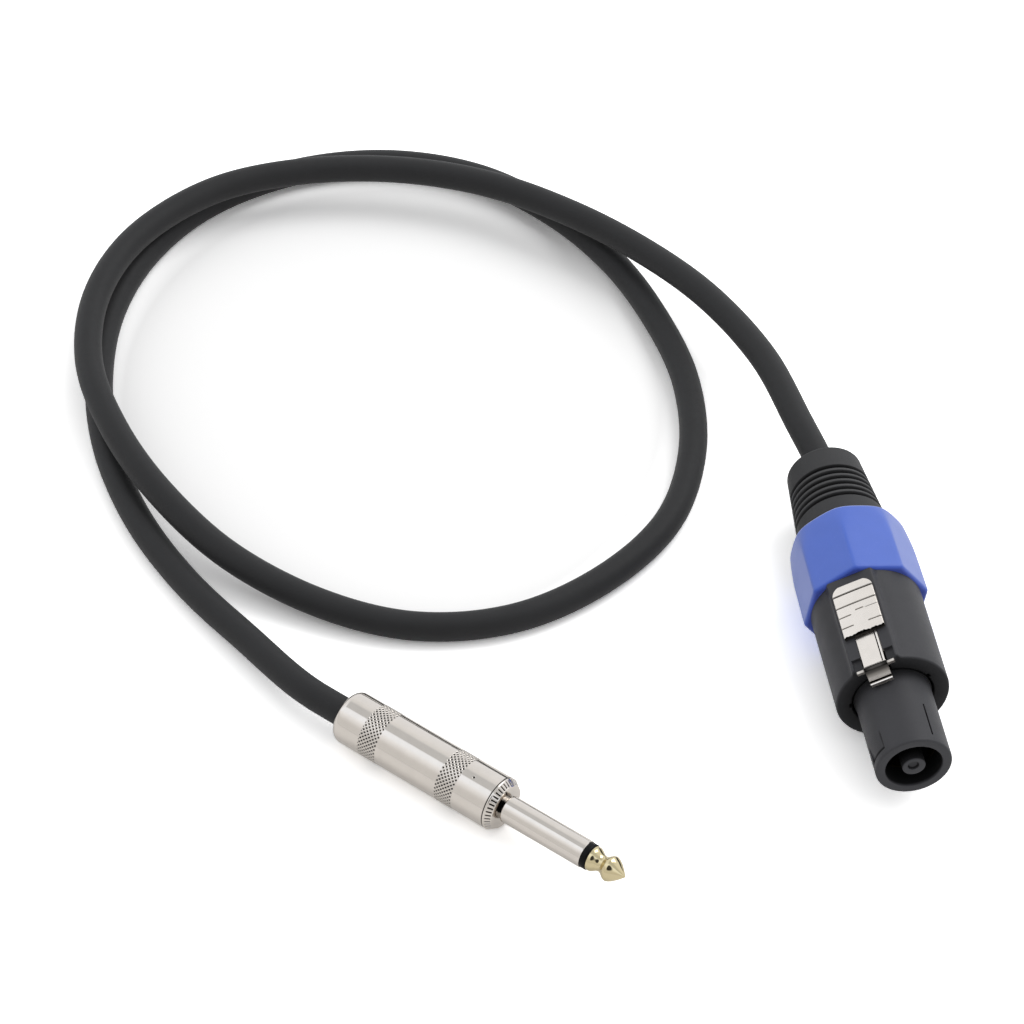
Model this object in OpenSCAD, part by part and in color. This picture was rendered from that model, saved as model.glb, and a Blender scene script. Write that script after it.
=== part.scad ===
// Loudspeaker lead: a twist-lock speaker connector, a round cable and a 6.35 mm jack plug.
// Millimetres, Z up. The origin is on the table under the middle of the speaker connector,
// whose axis lies along Y with its nose towards -Y.

/* [Cable] */
// Outside diameter of the jacket
cable_d = 6.8; // [6:0.1:7.2]
// Clear height where one pass of the cable lies over another
lay_gap = 0.8; // [0.6:0.1:3]
// Outside diameter of an insulated conductor
conductor_d = 2.4; // [1.8:0.1:2.6]
// Diameter of a bare conductor
bare_wire_d = 1.8; // [1.2:0.1:2]

/* [Speaker connector housing] */
// Outside diameter of the shell
housing_d = 25.5; // [25:0.1:27]
// Length of the shell in front of the clamp nut
housing_len = 26.9; // [26.5:0.1:32]
// Rounding of the front edge
housing_edge_r = 0.5; // [0.2:0.1:1]
// Width of the flat land that carries the latch
land_w = 10.8; // [10.4:0.1:12]
// Fillet between the land and the round shell
land_fillet_r = 2; // [1:0.1:3]
// Length of the threaded spigot
spigot_len = 11.6; // [9:0.1:14]
// Wall of the threaded spigot
spigot_wall = 1.7; // [1.4:0.1:1.8]

/* [Contact insert] */
// Fall of the radius from the insert's guide to the nose that enters the socket
nose_step = 0.25; // [0.2:0.05:0.5]
// Length of the nose in front of the housing
nose_len = 20.4; // [18:0.1:24]
// Diameter of the opening in the nose
nose_opening_d = 12.7; // [12.2:0.1:13.2]
// Depth of the opening in the nose
nose_opening_depth = 16.4; // [12:0.1:17]
// Diameter of the centre post in the opening
post_d = 5.2; // [4:0.1:6]
// Rounding of the nose's edges
nose_edge_r = 0.5; // [0.2:0.1:1]
// Thickness of the flange that seats in the housing
insert_flange_t = 2.4; // [1.8:0.1:3]
// Depth of the rear cavity, where the conductors spread
insert_cavity_depth = 6.9; // [6.5:0.1:8]
// Depth of the bayonet recess
key_depth = 0.5; // [0.3:0.1:0.8]

/* [Contacts] */
// Width of a contact blade
blade_w = 3.2; // [2.6:0.1:3.6]
// Thickness of a contact blade
blade_t = 0.8; // [0.6:0.1:1]
// Width of a terminal block
terminal_w = 4.4; // [4:0.1:4.6]
// Height of a terminal block
terminal_h = 3.8; // [3.4:0.1:3.9]
// Length of a terminal block
terminal_len = 7; // [6:0.1:8]
// Diameter of a terminal screw
screw_d = 2.5; // [2:0.1:2.8]

/* [Latch] */
// Angle of the latch round the connector axis
latch_roll = 23; // [0:1:40]
// Travel of the latch
latch_travel = 2.9; // [2:0.1:3]
// Width of the thumb pad
pad_w = 9.4; // [8:0.1:10]
// Length of the thumb pad
pad_len = 14.8; // [14:0.1:15]
// Thickness of the thumb pad
pad_t = 1.1; // [0.8:0.1:1.6]
// Radius of the thumb pad's rear corners
pad_corner_r = 2.4; // [1:0.1:3.5]
// Distance from the housing's front face back to the thumb pad
pad_setback = 8.8; // [8:0.1:9]
// Width of the stem
stem_w = 4.9; // [4:0.1:5.2]
// Thickness of the latch plate
plate_t = 0.75; // [0.6:0.05:0.9]
// Width of the cross bar
crossbar_w = 8.8; // [7:0.1:9]
// Width of the hook
hook_w = 5.1; // [4:0.1:5.5]
// Reach of the hook in front of the housing
hook_reach = 2.8; // [2.4:0.1:3]
// Drop of the hook from the top of the stem
hook_drop = 3.75; // [3.4:0.05:3.8]
// Outside diameter of the latch spring
spring_d = 2.4; // [2:0.1:2.6]
// Wire diameter of the latch spring
spring_wire_d = 0.4; // [0.3:0.05:0.5]
// Number of turns of the latch spring
spring_turns = 9; // [6:1:10]
// Wall between the spring's pocket and the insert
pocket_wall = 0.4; // [0.3:0.05:0.6]

/* [Clamp nut] */
// Diameter of the nut over its corners
nut_d = 29; // [28.6:0.1:31]
// Wall of the nut from the spigot's thread to a corner
nut_wall = 3.2; // [3:0.1:4.2]
// Length of the nut
nut_len = 19.9; // [19:0.1:24]
// Slope of the nut's facets in degrees
nut_taper = 0.7; // [0:0.1:2]
// Fall of the radius from the corners to the round rear rim
nut_rim_drop = 1.1; // [0.5:0.1:1.3]
// Angle of the nut's upper corner round the connector axis
nut_roll = 14; // [0:1:22]
// Advance of the nut in one turn
nut_pitch = 2.5; // [1.5:0.1:3]
// Turns that open the nut
nut_turns = 2; // [1:1:3]

/* [Strain relief boot] */
// Length of the boot behind the nut
boot_len = 23.9; // [20:0.1:32]
// Step of the flange that holds the boot in the nut
boot_flange_step = 0.7; // [0.5:0.1:1]
// Diameter of the boot at its end
boot_end_d = 16.8; // [14:0.1:19]
// Number of grooves
groove_count = 6; // [3:1:7]
// Spacing of the grooves
groove_pitch = 1.95; // [1.6:0.05:2.4]
// Width of a groove
groove_w = 0.9; // [0.5:0.1:1.2]
// Depth of a groove
groove_depth = 0.6; // [0.3:0.1:1]
// Diameter of the flared mouth
boot_mouth_d = 9.4; // [8.8:0.1:11]

/* [Cable chuck] */
// Length of the chuck's solid front ring
chuck_ring_len = 4; // [3:0.1:5]
// Length of the tapered finger tips
chuck_taper_len = 7; // [5:0.1:8]
// Fall of the radius along the tapered tips
chuck_taper_drop = 3; // [2:0.1:3.2]
// Width of the slots between the fingers
chuck_slot_w = 1.2; // [0.8:0.1:2]

/* [Jack plug] */
// Diameter of the plug sleeve
plug_d = 6.35; // [6.3:0.01:6.4]
// Length of the plug sleeve
plug_sleeve_len = 21.15; // [18:0.05:24]
// Diameter of the insulating ring behind the tip
ring_d = 6; // [5.8:0.1:6.3]
// Length of the insulating ring behind the tip
ring_len = 1.45; // [1:0.05:3]
// Length of the tip
tip_len = 8.85; // [8:0.05:10]
// Diameter of the tip's bulb
tip_bulb_d = 5.95; // [5.5:0.05:6.2]
// Diameter of the tip's waist
tip_waist_d = 3.8; // [3.4:0.1:4.4]
// Diameter of the tip's rear shoulder
tip_base_d = 5.7; // [5.2:0.1:6]

/* [Jack body] */
// Outside diameter of the barrel and the collar
barrel_d = 12.5; // [12.3:0.1:14]
// Length of the barrel
barrel_len = 42.3; // [41:0.1:50]
// Wall of the barrel
barrel_wall = 1.1; // [0.9:0.1:1.2]
// Rounding of the barrel's rear edge
barrel_edge_r = 2; // [0.5:0.1:2.2]
// Length of the collar's flange
collar_len = 1.9; // [1.8:0.1:5]
// Length of the collar's bevel
bevel_len = 1.5; // [0.8:0.1:1.8]
// Fall of the radius along the bevel
bevel_drop = 1.05; // [0.5:0.05:1.5]
// Number of flutes on the bevel
flute_count = 40; // [20:1:60]
// Length of the collar's threaded stub
stub_len = 8; // [6:0.1:10]
// Diameter of the neck between collar and sleeve
neck_d = 5.5; // [5.1:0.1:6]
// Length of the neck between collar and sleeve
neck_len = 0.65; // [0.3:0.05:1.5]
// Length of the solder tongue on the tip's lug
tongue_len = 7.5; // [6:0.1:8]
// Advance of the barrel in one turn
barrel_pitch = 1; // [0.75:0.25:1.5]
// Turns that open the barrel
barrel_turns = 5; // [3:1:6]

/* [Hidden] */
$fn = 96;

// Colours
black_plastic = "#2b2b2e";
black_rubber = "#333334";
cable_black = "#39393b";
nut_blue = "#4f6fd0";
bright_metal = "#d8d6d2";
pale_gold = "#e6d49a";
brass = "#c9a55a";
white_plastic = "#dcdcd4";
red_insulation = "#a02a2a";
black_insulation = "#1c1c1e";

// Fits: clear distance between faces
thread_clear = 0.05; // turning threads, on the radius
slide_clear = 0.1; // sliding and loosely seated faces
seat_clear = 0.05; // pieces seated in a pocket or bore
cable_clear = 0.3; // pieces that move along the cable, on the radius
overcut = 1; // how far a cutter runs past the face that it opens

// Radii
cable_r = cable_d / 2;
housing_r = housing_d / 2;
opening_r = nose_opening_d / 2;
post_r = post_d / 2;
nut_r = nut_d / 2;
spigot_r = nut_r - nut_wall;
plug_r = plug_d / 2;
barrel_r = barrel_d / 2;

// Stations along the connector axis, from the housing's front face towards the nose.
relief_len = 3; // depth of the wider mouth in which the insert stands free
insert_rear = -housing_len;
insert_seat = insert_rear + insert_flange_t;
spigot_end = -housing_len - spigot_len;
nut_front = -housing_len - slide_clear;
nut_end = nut_front - nut_len;
boot_end = nut_end - boot_len;
terminal_end = insert_rear + insert_cavity_depth;
terminal_front = terminal_end + terminal_len;
cavity_floor = nose_len - nose_opening_depth;
blade_end = nose_len - 5.4; // the blades stop this far behind the nose's end
jacket_end_speaker = -housing_len - 4.1;

// Heights of the latch over the connector axis
land_top = housing_r;
pad_bottom = land_top + slide_clear;
pad_top = pad_bottom + pad_t;
stem_bottom = pad_bottom - plate_t;
channel_floor = stem_bottom - seat_clear;
pocket_floor = channel_floor - spring_d - 0.45;
spring_axis = pocket_floor + 0.25 + spring_d / 2;

// Radii inside the connector
spigot_bore_r = spigot_r - spigot_wall;
housing_bore_r = pocket_floor - pocket_wall;
insert_guide_r = housing_bore_r - seat_clear;
nose_r = insert_guide_r - nose_step;
housing_mouth_r = insert_guide_r + 0.45;
rear_cavity_r = 7.2;
terminal_r = 5.1; // radius on which the clamped wires lie
terminal_top = terminal_r + terminal_h / 2;
blade_top = opening_r + 0.4; // the blades lie in grooves of the opening's wall

// The connector stands on the lowest corner of its nut, the middle of its length over the origin.
axis_height = nut_r * cos(nut_roll);
connector_mid = (nose_len + boot_end) / 2;

// Stations of the latch
pad_rear = -pad_setback - pad_len;
stem_rear = pad_rear + latch_travel + 3 * slide_clear;
lip_w = 0.35; // the stem's side lips, which keep it in its channel
lip_t = 0.3;
crossbar_front = 1.4;
crossbar_len = 1.2;
tab_t = 1;
tab_front = -pad_setback - 1.4;
spring_front = tab_front - tab_t;
pocket_rear = pad_rear + 2.7;
pocket_w = spring_d + 0.4;

// Cable chuck and boot, stations and radii
chuck_front = insert_rear;
chuck_r = spigot_bore_r - 2 * slide_clear;
chuck_finger_r = chuck_r - slide_clear;
chuck_taper_start = spigot_end;
chuck_end = chuck_taper_start - chuck_taper_len;
chuck_ring_bore_r = 7.6;
grip_r = cable_r + seat_clear;
boot_flange_front = spigot_end - 0.7;
boot_flange_rear = nut_end + 1.1;
boot_flange_r = spigot_r + 0.45;
boot_front_r = boot_flange_r - boot_flange_step;
boot_end_r = boot_end_d / 2;
boot_bore_r = cable_r + cable_clear;
boot_edge_r = 0.9;
boot_mouth_len = 10;
boot_cap_len = 6.95; // smooth end behind the grooves

// Jack: stations along its axis, from the seam between barrel and collar towards the tip.
sleeve_back = collar_len + neck_len;
sleeve_end = sleeve_back + plug_sleeve_len;
tip_back = sleeve_end + ring_len;
barrel_front = -slide_clear;
barrel_end = barrel_front - barrel_len;
barrel_bore_r = barrel_r - barrel_wall;
barrel_hole_r = cable_r + cable_clear + seat_clear;
barrel_travel = barrel_pitch * barrel_turns;
barrel_floor = barrel_end + 2; // inner face of the barrel's rear wall
stub_r = barrel_bore_r - thread_clear;
liner_r = barrel_bore_r - slide_clear;
liner_t = 0.45;
rod_r = 1.1;
insulator_bore_r = rod_r + seat_clear;
insulator_r = insulator_bore_r + 0.7;
sleeve_bore_r = insulator_r + seat_clear;
sleeve_tail_r = sleeve_bore_r + 0.35;
collar_bore_r = sleeve_tail_r + seat_clear;
lug_t = 0.8;
lug_r = 2.8;
sleeve_tail_end = -stub_len - lug_t - 0.2; // the tail is staked over the sleeve terminal
washer_end = sleeve_tail_end - 2;
tip_lug_end = washer_end - lug_t;
rod_end = tip_lug_end - 0.7;
jacket_end_jack = -28.5;
strip_in = cable_r + 0.1; // inner face of the strip that runs back to the cable clamp
strip_w = 3;
strip_t = 0.7;
crimp_front = jacket_end_jack - 2;
crimp_len = 5;
tongue_top = 2.7;
tongue_t = 0.6;
tongue_end = tip_lug_end - tongue_len;
conductor_offset = 0.56 * conductor_d; // axis of a conductor beside the cable's own axis

// Place and heading of the jack on the table
jack_x = -89.31;
jack_y = -35.6;
jack_heading = -46;

// Shift of the free cable along y
cable_shift = 0.7;
// Route of the free cable from the jack to the connector: x, y and height in layers,
// 0 on the table and 1 on top of another pass.
cable_route = [
    [-139, 23, 0.15], [-151, 44, 0], [-160, 66, 0], [-165, 90, 0], [-165, 114, 0],
    [-160, 138, 0], [-149, 159, 0], [-132, 175, 0], [-109, 184, 0], [-85, 184, 0],
    [-63, 175, 0], [-46, 158, 0], [-34, 137, 0], [-27, 114, 0], [-24, 91, 0],
    [-27, 67, 0], [-37, 45, 0], [-55, 29, 0], [-77, 20, 0], [-100, 21, 0],
    [-121, 31, 0.1], [-140, 47, 0.4], [-154, 67, 0.8], [-163, 89, 1], [-167, 113, 1],
    [-163, 137, 1], [-151, 157, 1], [-131, 171, 1], [-108, 175, 1], [-84, 172, 1],
    [-62, 163, 1], [-43, 148, 1.05], [-27, 130, 1.1], [-15, 110, 1.25], [-6.5, 87, 1.35],
    [-2.8, 64, 1.4]
];
cable_sides = 12;
wire_sides = 8;
spring_sides = 6;
rings_per_turn = 8;

// ---- Curves ----

function unit(v) = v / norm(v);

// Point at share t of the smooth curve from b to c, with neighbours a and d
function curve_point(a, b, c, d, t) =
    let (slope = (c - a) / 2, next_slope = (d - b) / 2)
    b + slope * t + (3 * (c - b) - 2 * slope - next_slope) * t * t
    + (2 * (b - c) + slope + next_slope) * t * t * t;

// Smooth curve through the points, with given headings at the first and the last
function smooth_curve(points, heading_in, heading_out, steps) =
    let (
        last = len(points) - 1,
        before = points[1] - 2 * norm(points[1] - points[0]) * heading_in,
        after = points[last - 1] + 2 * norm(points[last] - points[last - 1]) * heading_out,
        p = concat([before], points, [after])
    )
    concat(
        [
            for (i = [1:last]) for (j = [0:steps - 1])
            curve_point(p[i - 1], p[i], p[i + 1], p[i + 2], j / steps)
        ],
        [points[last]]
    );

// Direction of a route at its point i
function heading_at(route, i) =
    unit(route[min(i + 1, len(route) - 1)] - route[max(i - 1, 0)]);

// Points of one ring round point i of a route, square to it, with up as the ring's top
function ring_points(route, i, radius, sides, up) =
    let (
        along = heading_at(route, i),
        side = unit(cross(along, up)),
        top = cross(side, along)
    )
    [for (j = [0:sides - 1]) route[i] + radius * (cos(360 * j / sides) * top + sin(360 * j / sides) * side)];

function route_length(route, i = 1) =
    i >= len(route) ? 0 : norm(route[i] - route[i - 1]) + route_length(route, i + 1);

// Least clear distance between stretches of a route that are at least skip points apart
function least_gap(route, diameter, skip) =
    min([for (i = [0:len(route) - 1 - skip]) for (j = [i + skip:len(route) - 1]) norm(route[i] - route[j])])
    - diameter;

// Points of an arc between two angles
function arc(centre, radius, from, to, steps = 6) =
    [
        for (i = [0:steps])
        let (angle = from + (to - from) * i / steps)
        centre + radius * [cos(angle), sin(angle)]
    ];

// ---- Shared solids ----

// Round tube swept along a route, whose last rings can have a second radius
module swept_tube(route, radius, sides, up, end_radius = 0, end_rings = 0) {
    count = len(route);
    points = [
        for (i = [0:count - 1])
        each ring_points(route, i, i < count - end_rings ? radius : end_radius, sides, up)
    ];
    walls = [
        for (i = [0:count - 2]) for (j = [0:sides - 1])
        let (a = i * sides + j, b = i * sides + (j + 1) % sides)
        each [[a, b + sides, b], [a, a + sides, b + sides]]
    ];
    first = (count - 1) * sides;
    start_cap = [for (j = [1:sides - 2]) [0, j, j + 1]];
    end_cap = [for (j = [1:sides - 2]) [first, first + j + 1, first + j]];
    polyhedron(points, concat(walls, start_cap, end_cap));
}

// Ring or disc round the Z axis
module ring(from, to, outer, inner = 0) {
    rotate_extrude()
        translate([inner, from])
            square([outer - inner, to - from]);
}

// Solid of revolution round Z from an outline of [radius, station]
module revolve(outline) {
    rotate_extrude()
        polygon(outline);
}

// Block of a width across X, between two heights in Y and two stations in Z
module slab(width, low, high, from, to) {
    translate([-width / 2, low, from])
        cube([width, high - low, to - from]);
}

// Profile of [station, height] drawn out across X
module across(width) {
    rotate([0, -90, 0])
        linear_extrude(width, center = true)
            children();
}

// Flat outline of [x, station] drawn out from one height to another
module upright(low, high) {
    translate([0, high, 0])
        rotate([90, 0, 0])
            linear_extrude(high - low)
                children();
}

module at_connector() {
    translate([0, connector_mid, axis_height])
        rotate([90, 0, 0])
            children();
}

module at_latch() {
    at_connector()
        rotate([0, 0, latch_roll])
            children();
}

module at_jack() {
    translate([jack_x, jack_y, barrel_r])
        rotate([0, 90, jack_heading])
            children();
}

function connector_point(station) = [0, connector_mid - station, axis_height];
function jack_axis() = [cos(jack_heading), sin(jack_heading), 0];
function jack_point(station) = [jack_x, jack_y, barrel_r] + station * jack_axis();

// ---- Speaker connector ----

// Angles of the four contacts, counted from the latch
function contact_angle(index) = 45 + 90 * index;

module housing_shell() {
    revolve(concat(
        [[0, -housing_len], [housing_r, -housing_len]],
        arc([housing_r - housing_edge_r, -housing_edge_r], housing_edge_r, 0, 90),
        [[0, 0]]
    ));
}

// Raised flat with hollow fillets that run out into the round shell
module latch_land() {
    fillet_x = land_w / 2 + land_fillet_r;
    foot_x = fillet_x * housing_r / (housing_r + land_fillet_r);
    translate([0, 0, -housing_len])
        linear_extrude(housing_len)
            difference() {
                translate([-foot_x, 0])
                    square([2 * foot_x, land_top]);
                for (side = [-1, 1])
                    translate([side * fillet_x, sqrt(pow(housing_r + land_fillet_r, 2) - pow(fillet_x, 2))])
                        circle(land_fillet_r);
            }
}

// Space that the latch, its hook, its tab and its spring need over the latch's travel
module latch_cuts() {
    recess = latch_travel + 2 * slide_clear;
    slab(stem_w + 2 * lip_w + 2 * slide_clear, channel_floor, stem_bottom + lip_t + slide_clear,
        pad_rear + slide_clear, overcut);
    slab(stem_w + 3 * slide_clear, channel_floor, pad_top, pad_rear + slide_clear, overcut);
    slab(crossbar_w + 8 * slide_clear, channel_floor, pad_top, -recess, overcut);
    slab(hook_w + 5 * slide_clear, nose_r, pad_top, -recess, overcut);
    slab(pocket_w, pocket_floor, channel_floor + seat_clear, pocket_rear, tab_front + slide_clear);
}

module connector_housing() {
    notch_w = 1.2;
    color(black_plastic)
    at_latch()
    difference() {
        union() {
            housing_shell();
            latch_land();
            ring(spigot_end, overcut - housing_len, spigot_r);
        }
        ring(spigot_end - overcut, insert_seat, spigot_bore_r);
        ring(insert_seat - overcut, overcut, housing_bore_r);
        ring(-relief_len, overcut, housing_mouth_r);
        latch_cuts();
        for (side = [-1, 1])
            rotate([0, 0, 75 * side])
                slab(notch_w, 0, housing_mouth_r + key_depth, -notch_w, overcut);
    }
}

// Round parts of the insert: flange, guide and nose, with the ring-shaped opening round the post
module insert_body() {
    inner_edge_r = nose_edge_r / 2;
    flange_r = spigot_bore_r - slide_clear;
    difference() {
        revolve(concat(
            [[0, insert_rear], [flange_r, insert_rear], [flange_r, insert_seat]],
            [[insert_guide_r, insert_seat], [insert_guide_r, 0], [nose_r, 0]],
            arc([nose_r - nose_edge_r, nose_len - nose_edge_r], nose_edge_r, 0, 90),
            arc([opening_r + inner_edge_r, nose_len - inner_edge_r], inner_edge_r, 90, 180),
            [[opening_r, cavity_floor], [post_r, cavity_floor]],
            arc([post_r - inner_edge_r, nose_len - inner_edge_r], inner_edge_r, 0, 90),
            [[0, nose_len]]
        ));
        ring(insert_rear - overcut, terminal_end, rear_cavity_r);
    }
}

// Pocket, groove and screw hole for one contact
module contact_cuts() {
    slab(terminal_w + 2 * seat_clear, terminal_r - terminal_h / 2 - seat_clear, terminal_top + seat_clear,
        terminal_end - overcut, terminal_front);
    slab(blade_w + 2 * seat_clear, blade_top - blade_t - seat_clear, blade_top + seat_clear,
        terminal_front - overcut, blade_end);
    translate([0, 0, screw_station()])
        rotate([-90, 0, 0])
            cylinder(h = nose_r + overcut, d = screw_d + 4 * seat_clear);
}

module contact_insert() {
    key_from = 27;
    key_to = 67;
    key_back = 13;
    key_front = 18.8;
    slit_angle = -51;
    slit_w = 0.4;
    slit_back = 9.4;
    slit_front = 18.3;
    color(black_plastic)
    at_latch()
    difference() {
        insert_body();
        for (index = [0:3])
            rotate([0, 0, contact_angle(index)])
                contact_cuts();
        rotate([0, 0, 90 + key_from])
            rotate_extrude(angle = key_to - key_from)
                translate([nose_r - key_depth, key_back])
                    square([overcut, key_front - key_back]);
        rotate([0, 0, slit_angle])
            slab(slit_w, nose_r - key_depth, nose_r + overcut, slit_back, slit_front);
        translate([0, 0.4, nose_len - key_depth])
            cylinder(h = overcut, d = post_d / 2);
    }
}

// Middle of a terminal's clamp screw
function screw_station() = (terminal_end + terminal_front) / 2;

// Blade and screw terminal of one contact
module speaker_contact(index) {
    wire_hole_r = bare_wire_d / 2 + 0.35;
    color(brass)
    at_latch()
    rotate([0, 0, contact_angle(index)])
    difference() {
        union() {
            slab(terminal_w, terminal_r - terminal_h / 2, terminal_top, terminal_end, terminal_front);
            slab(blade_w, blade_top - blade_t, blade_top, terminal_front - overcut, blade_end);
        }
        translate([0, terminal_r, terminal_end - overcut])
            cylinder(h = terminal_len, r = wire_hole_r);
        translate([0, terminal_r, screw_station()])
            rotate([-90, 0, 0])
                cylinder(h = terminal_h, d = screw_d + 2 * seat_clear);
    }
}

module contact_plus_one() {
    speaker_contact(0);
}

module contact_plus_two() {
    speaker_contact(1);
}

module contact_minus_one() {
    speaker_contact(2);
}

module contact_minus_two() {
    speaker_contact(3);
}

// Four slotted grub screws that press on the wires
module terminal_screws() {
    screw_len = insert_guide_r - terminal_r - bare_wire_d / 2 - 0.75;
    slot_w = 0.5;
    slot_depth = 0.6;
    color(bright_metal)
    at_latch()
    for (index = [0:3])
        rotate([0, 0, contact_angle(index)])
            translate([0, terminal_r + bare_wire_d / 2, screw_station()])
                rotate([-90, 0, 0])
                    difference() {
                        cylinder(h = screw_len, d = screw_d);
                        translate([-screw_d, -slot_w / 2, screw_len - slot_depth])
                            cube([2 * screw_d, slot_w, screw_len]);
                    }
}

// Thumb pad with its grip grooves, placed by shares of its length from its front edge
module thumb_pad() {
    groove = 0.3;
    full_grooves = [0.845, 0.61];
    side_grooves = [[-1, 0.41], [-1, 0.2], [1, 0.45], [1, 0.19]];
    side_groove_len = 2.7;
    difference() {
        upright(pad_bottom, pad_top) {
            translate([-pad_w / 2, pad_rear + pad_corner_r])
                square([pad_w, pad_len - pad_corner_r]);
            translate([-pad_w / 2 + pad_corner_r, pad_rear])
                square([pad_w - 2 * pad_corner_r, pad_len]);
            for (side = [-1, 1])
                translate([side * (pad_w / 2 - pad_corner_r), pad_rear + pad_corner_r])
                    circle(pad_corner_r);
        }
        for (share = full_grooves)
            translate([0, 0, -pad_setback - share * pad_len])
                slab(pad_w + overcut, pad_top - groove, pad_top + overcut, 0, groove);
        for (place = side_grooves)
            translate([
                place[0] * (pad_w + overcut - side_groove_len) / 2,
                0,
                -pad_setback - place[1] * pad_len
            ])
                slab(side_groove_len, pad_top - groove, pad_top + overcut, 0, groove);
    }
}

// Point of the hook's outline at shares of its reach and of its drop
function hook_point(out, down) = [out * hook_reach, pad_bottom - down * hook_drop];

// Bent front end that snaps into the socket
module latch_hook() {
    root = crossbar_front - crossbar_len;
    across(hook_w)
        polygon([
            [root, pad_bottom], hook_point(0.32, 0.03), hook_point(0.57, 0.44), hook_point(0.84, 0.57),
            hook_point(0.89, 0.76), hook_point(1, 0.79), hook_point(1, 1), hook_point(0.75, 1),
            hook_point(0.64, 0.77), hook_point(0.32, 0.61), [root, stem_bottom]
        ]);
}

module latch_slide() {
    color(bright_metal)
    at_latch()
    union() {
        thumb_pad();
        slab(stem_w, stem_bottom, pad_bottom, stem_rear, crossbar_front);
        slab(stem_w + 2 * lip_w, stem_bottom, stem_bottom + lip_t, stem_rear, -latch_travel);
        slab(crossbar_w, stem_bottom, pad_bottom, crossbar_front - crossbar_len, crossbar_front);
        slab(spring_d, pocket_floor + 2 * slide_clear, stem_bottom, tab_front - tab_t, tab_front);
        latch_hook();
    }
}

module latch_spring() {
    coil_r = (spring_d - spring_wire_d) / 2;
    first = pocket_rear + spring_wire_d / 2 + seat_clear;
    last = spring_front - spring_wire_d / 2 - seat_clear;
    steps = spring_turns * rings_per_turn;
    coil = [
        for (i = [0:steps])
        let (a = 360 * i / rings_per_turn)
        [coil_r * cos(a), coil_r * sin(a), first + (last - first) * i / steps]
    ];
    echo(latch_spring_least_gap = least_gap(coil, spring_wire_d, rings_per_turn / 2));
    color(bright_metal)
    at_latch()
    translate([0, spring_axis, 0])
        swept_tube(coil, spring_wire_d / 2, spring_sides, [0, 0, 1]);
}

// Eight tilted half spaces outside the nut's facets
module facet_cuts() {
    reach = 4 * nut_r;
    for (index = [0:7])
        rotate([0, 0, nut_roll + 45 * (index + 0.5)])
            translate([0, nut_r * cos(22.5), nut_front])
                rotate([-nut_taper, 0, 0])
                    translate([-reach / 2, 0, -reach])
                        cube([reach, reach, 2 * reach]);
}

module clamp_nut() {
    chamfer = 0.4;
    fade_len = 11;
    lip_bore_r = boot_front_r + slide_clear + seat_clear;
    color(nut_blue)
    at_connector()
    difference() {
        revolve([
            [0, nut_end], [nut_r - nut_rim_drop, nut_end], [nut_r, nut_end + fade_len],
            [nut_r, nut_front - chamfer], [nut_r - chamfer, nut_front], [0, nut_front]
        ]);
        facet_cuts();
        ring(spigot_end - 0.5, nut_front + overcut, spigot_r + thread_clear);
        ring(boot_flange_rear - slide_clear, spigot_end - 0.3, boot_flange_r + slide_clear + seat_clear);
        ring(nut_end - overcut, boot_flange_rear, lip_bore_r);
    }
}

// Radius of the chuck's tapered tips at a station
function chuck_tip_r(station) =
    chuck_finger_r - chuck_taper_drop * (chuck_taper_start - station) / chuck_taper_len;

// Radius of the boot at a station
function boot_r(station) =
    boot_front_r + (boot_end_r - boot_front_r) * (nut_end - station) / boot_len;

module strain_relief_boot() {
    taper_clear = 0.25;
    cone_end = chuck_end - slide_clear;
    cone_front_r = chuck_tip_r(boot_flange_front) + taper_clear;
    shoulder_r = boot_r(boot_end + boot_edge_r);
    color(black_rubber)
    at_connector()
    difference() {
        revolve(concat(
            [[boot_mouth_d / 2, boot_end]],
            arc([shoulder_r - boot_edge_r, boot_end + boot_edge_r], boot_edge_r, -90, 0),
            [[boot_front_r, nut_end], [boot_front_r, boot_flange_rear], [boot_flange_r, boot_flange_rear]],
            [[boot_flange_r, boot_flange_front], [cone_front_r, boot_flange_front]],
            [[chuck_tip_r(cone_end) + taper_clear, cone_end], [boot_bore_r, cone_end]],
            [[boot_bore_r, boot_end + boot_mouth_len]]
        ));
        for (index = [0:groove_count - 1]) {
            station = boot_end + boot_cap_len + groove_pitch * index;
            ring(station, station + groove_w, boot_front_r + overcut, boot_r(station) - groove_depth);
        }
    }
}

// Slotted collet that the boot squeezes round the cable
module cable_chuck() {
    ring_end = chuck_front - chuck_ring_len;
    slot_end = ring_end - 1.5;
    color(white_plastic)
    at_connector()
    difference() {
        revolve([
            [grip_r, chuck_end], [chuck_tip_r(chuck_end), chuck_end], [chuck_finger_r, chuck_taper_start],
            [chuck_finger_r, ring_end], [chuck_r, ring_end], [chuck_r, chuck_front],
            [chuck_ring_bore_r, chuck_front], [chuck_ring_bore_r, ring_end], [grip_r, ring_end]
        ]);
        for (turn = [0, 90])
            rotate([0, 0, turn])
                slab(chuck_slot_w, -chuck_r - overcut, chuck_r + overcut, chuck_end - overcut, slot_end);
    }
}

// Insulated conductor from beside the Z axis to a distance from it, with a bare end that is raised by lift
module stripped_lead(from, to, far, bare_len, lift = 0) {
    step = 0.5;
    start = [0, conductor_offset, from];
    covered = smooth_curve([start + [0, 0, step], [0, far, to]], [0, 0, 1], [0, 0, 1], 8);
    path = concat([start], covered, [[0, far + lift, to + step], [0, far + lift, to + bare_len]]);
    swept_tube(path, conductor_d / 2, wire_sides, [1, 0, 0], bare_wire_d / 2, 2);
}

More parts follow.
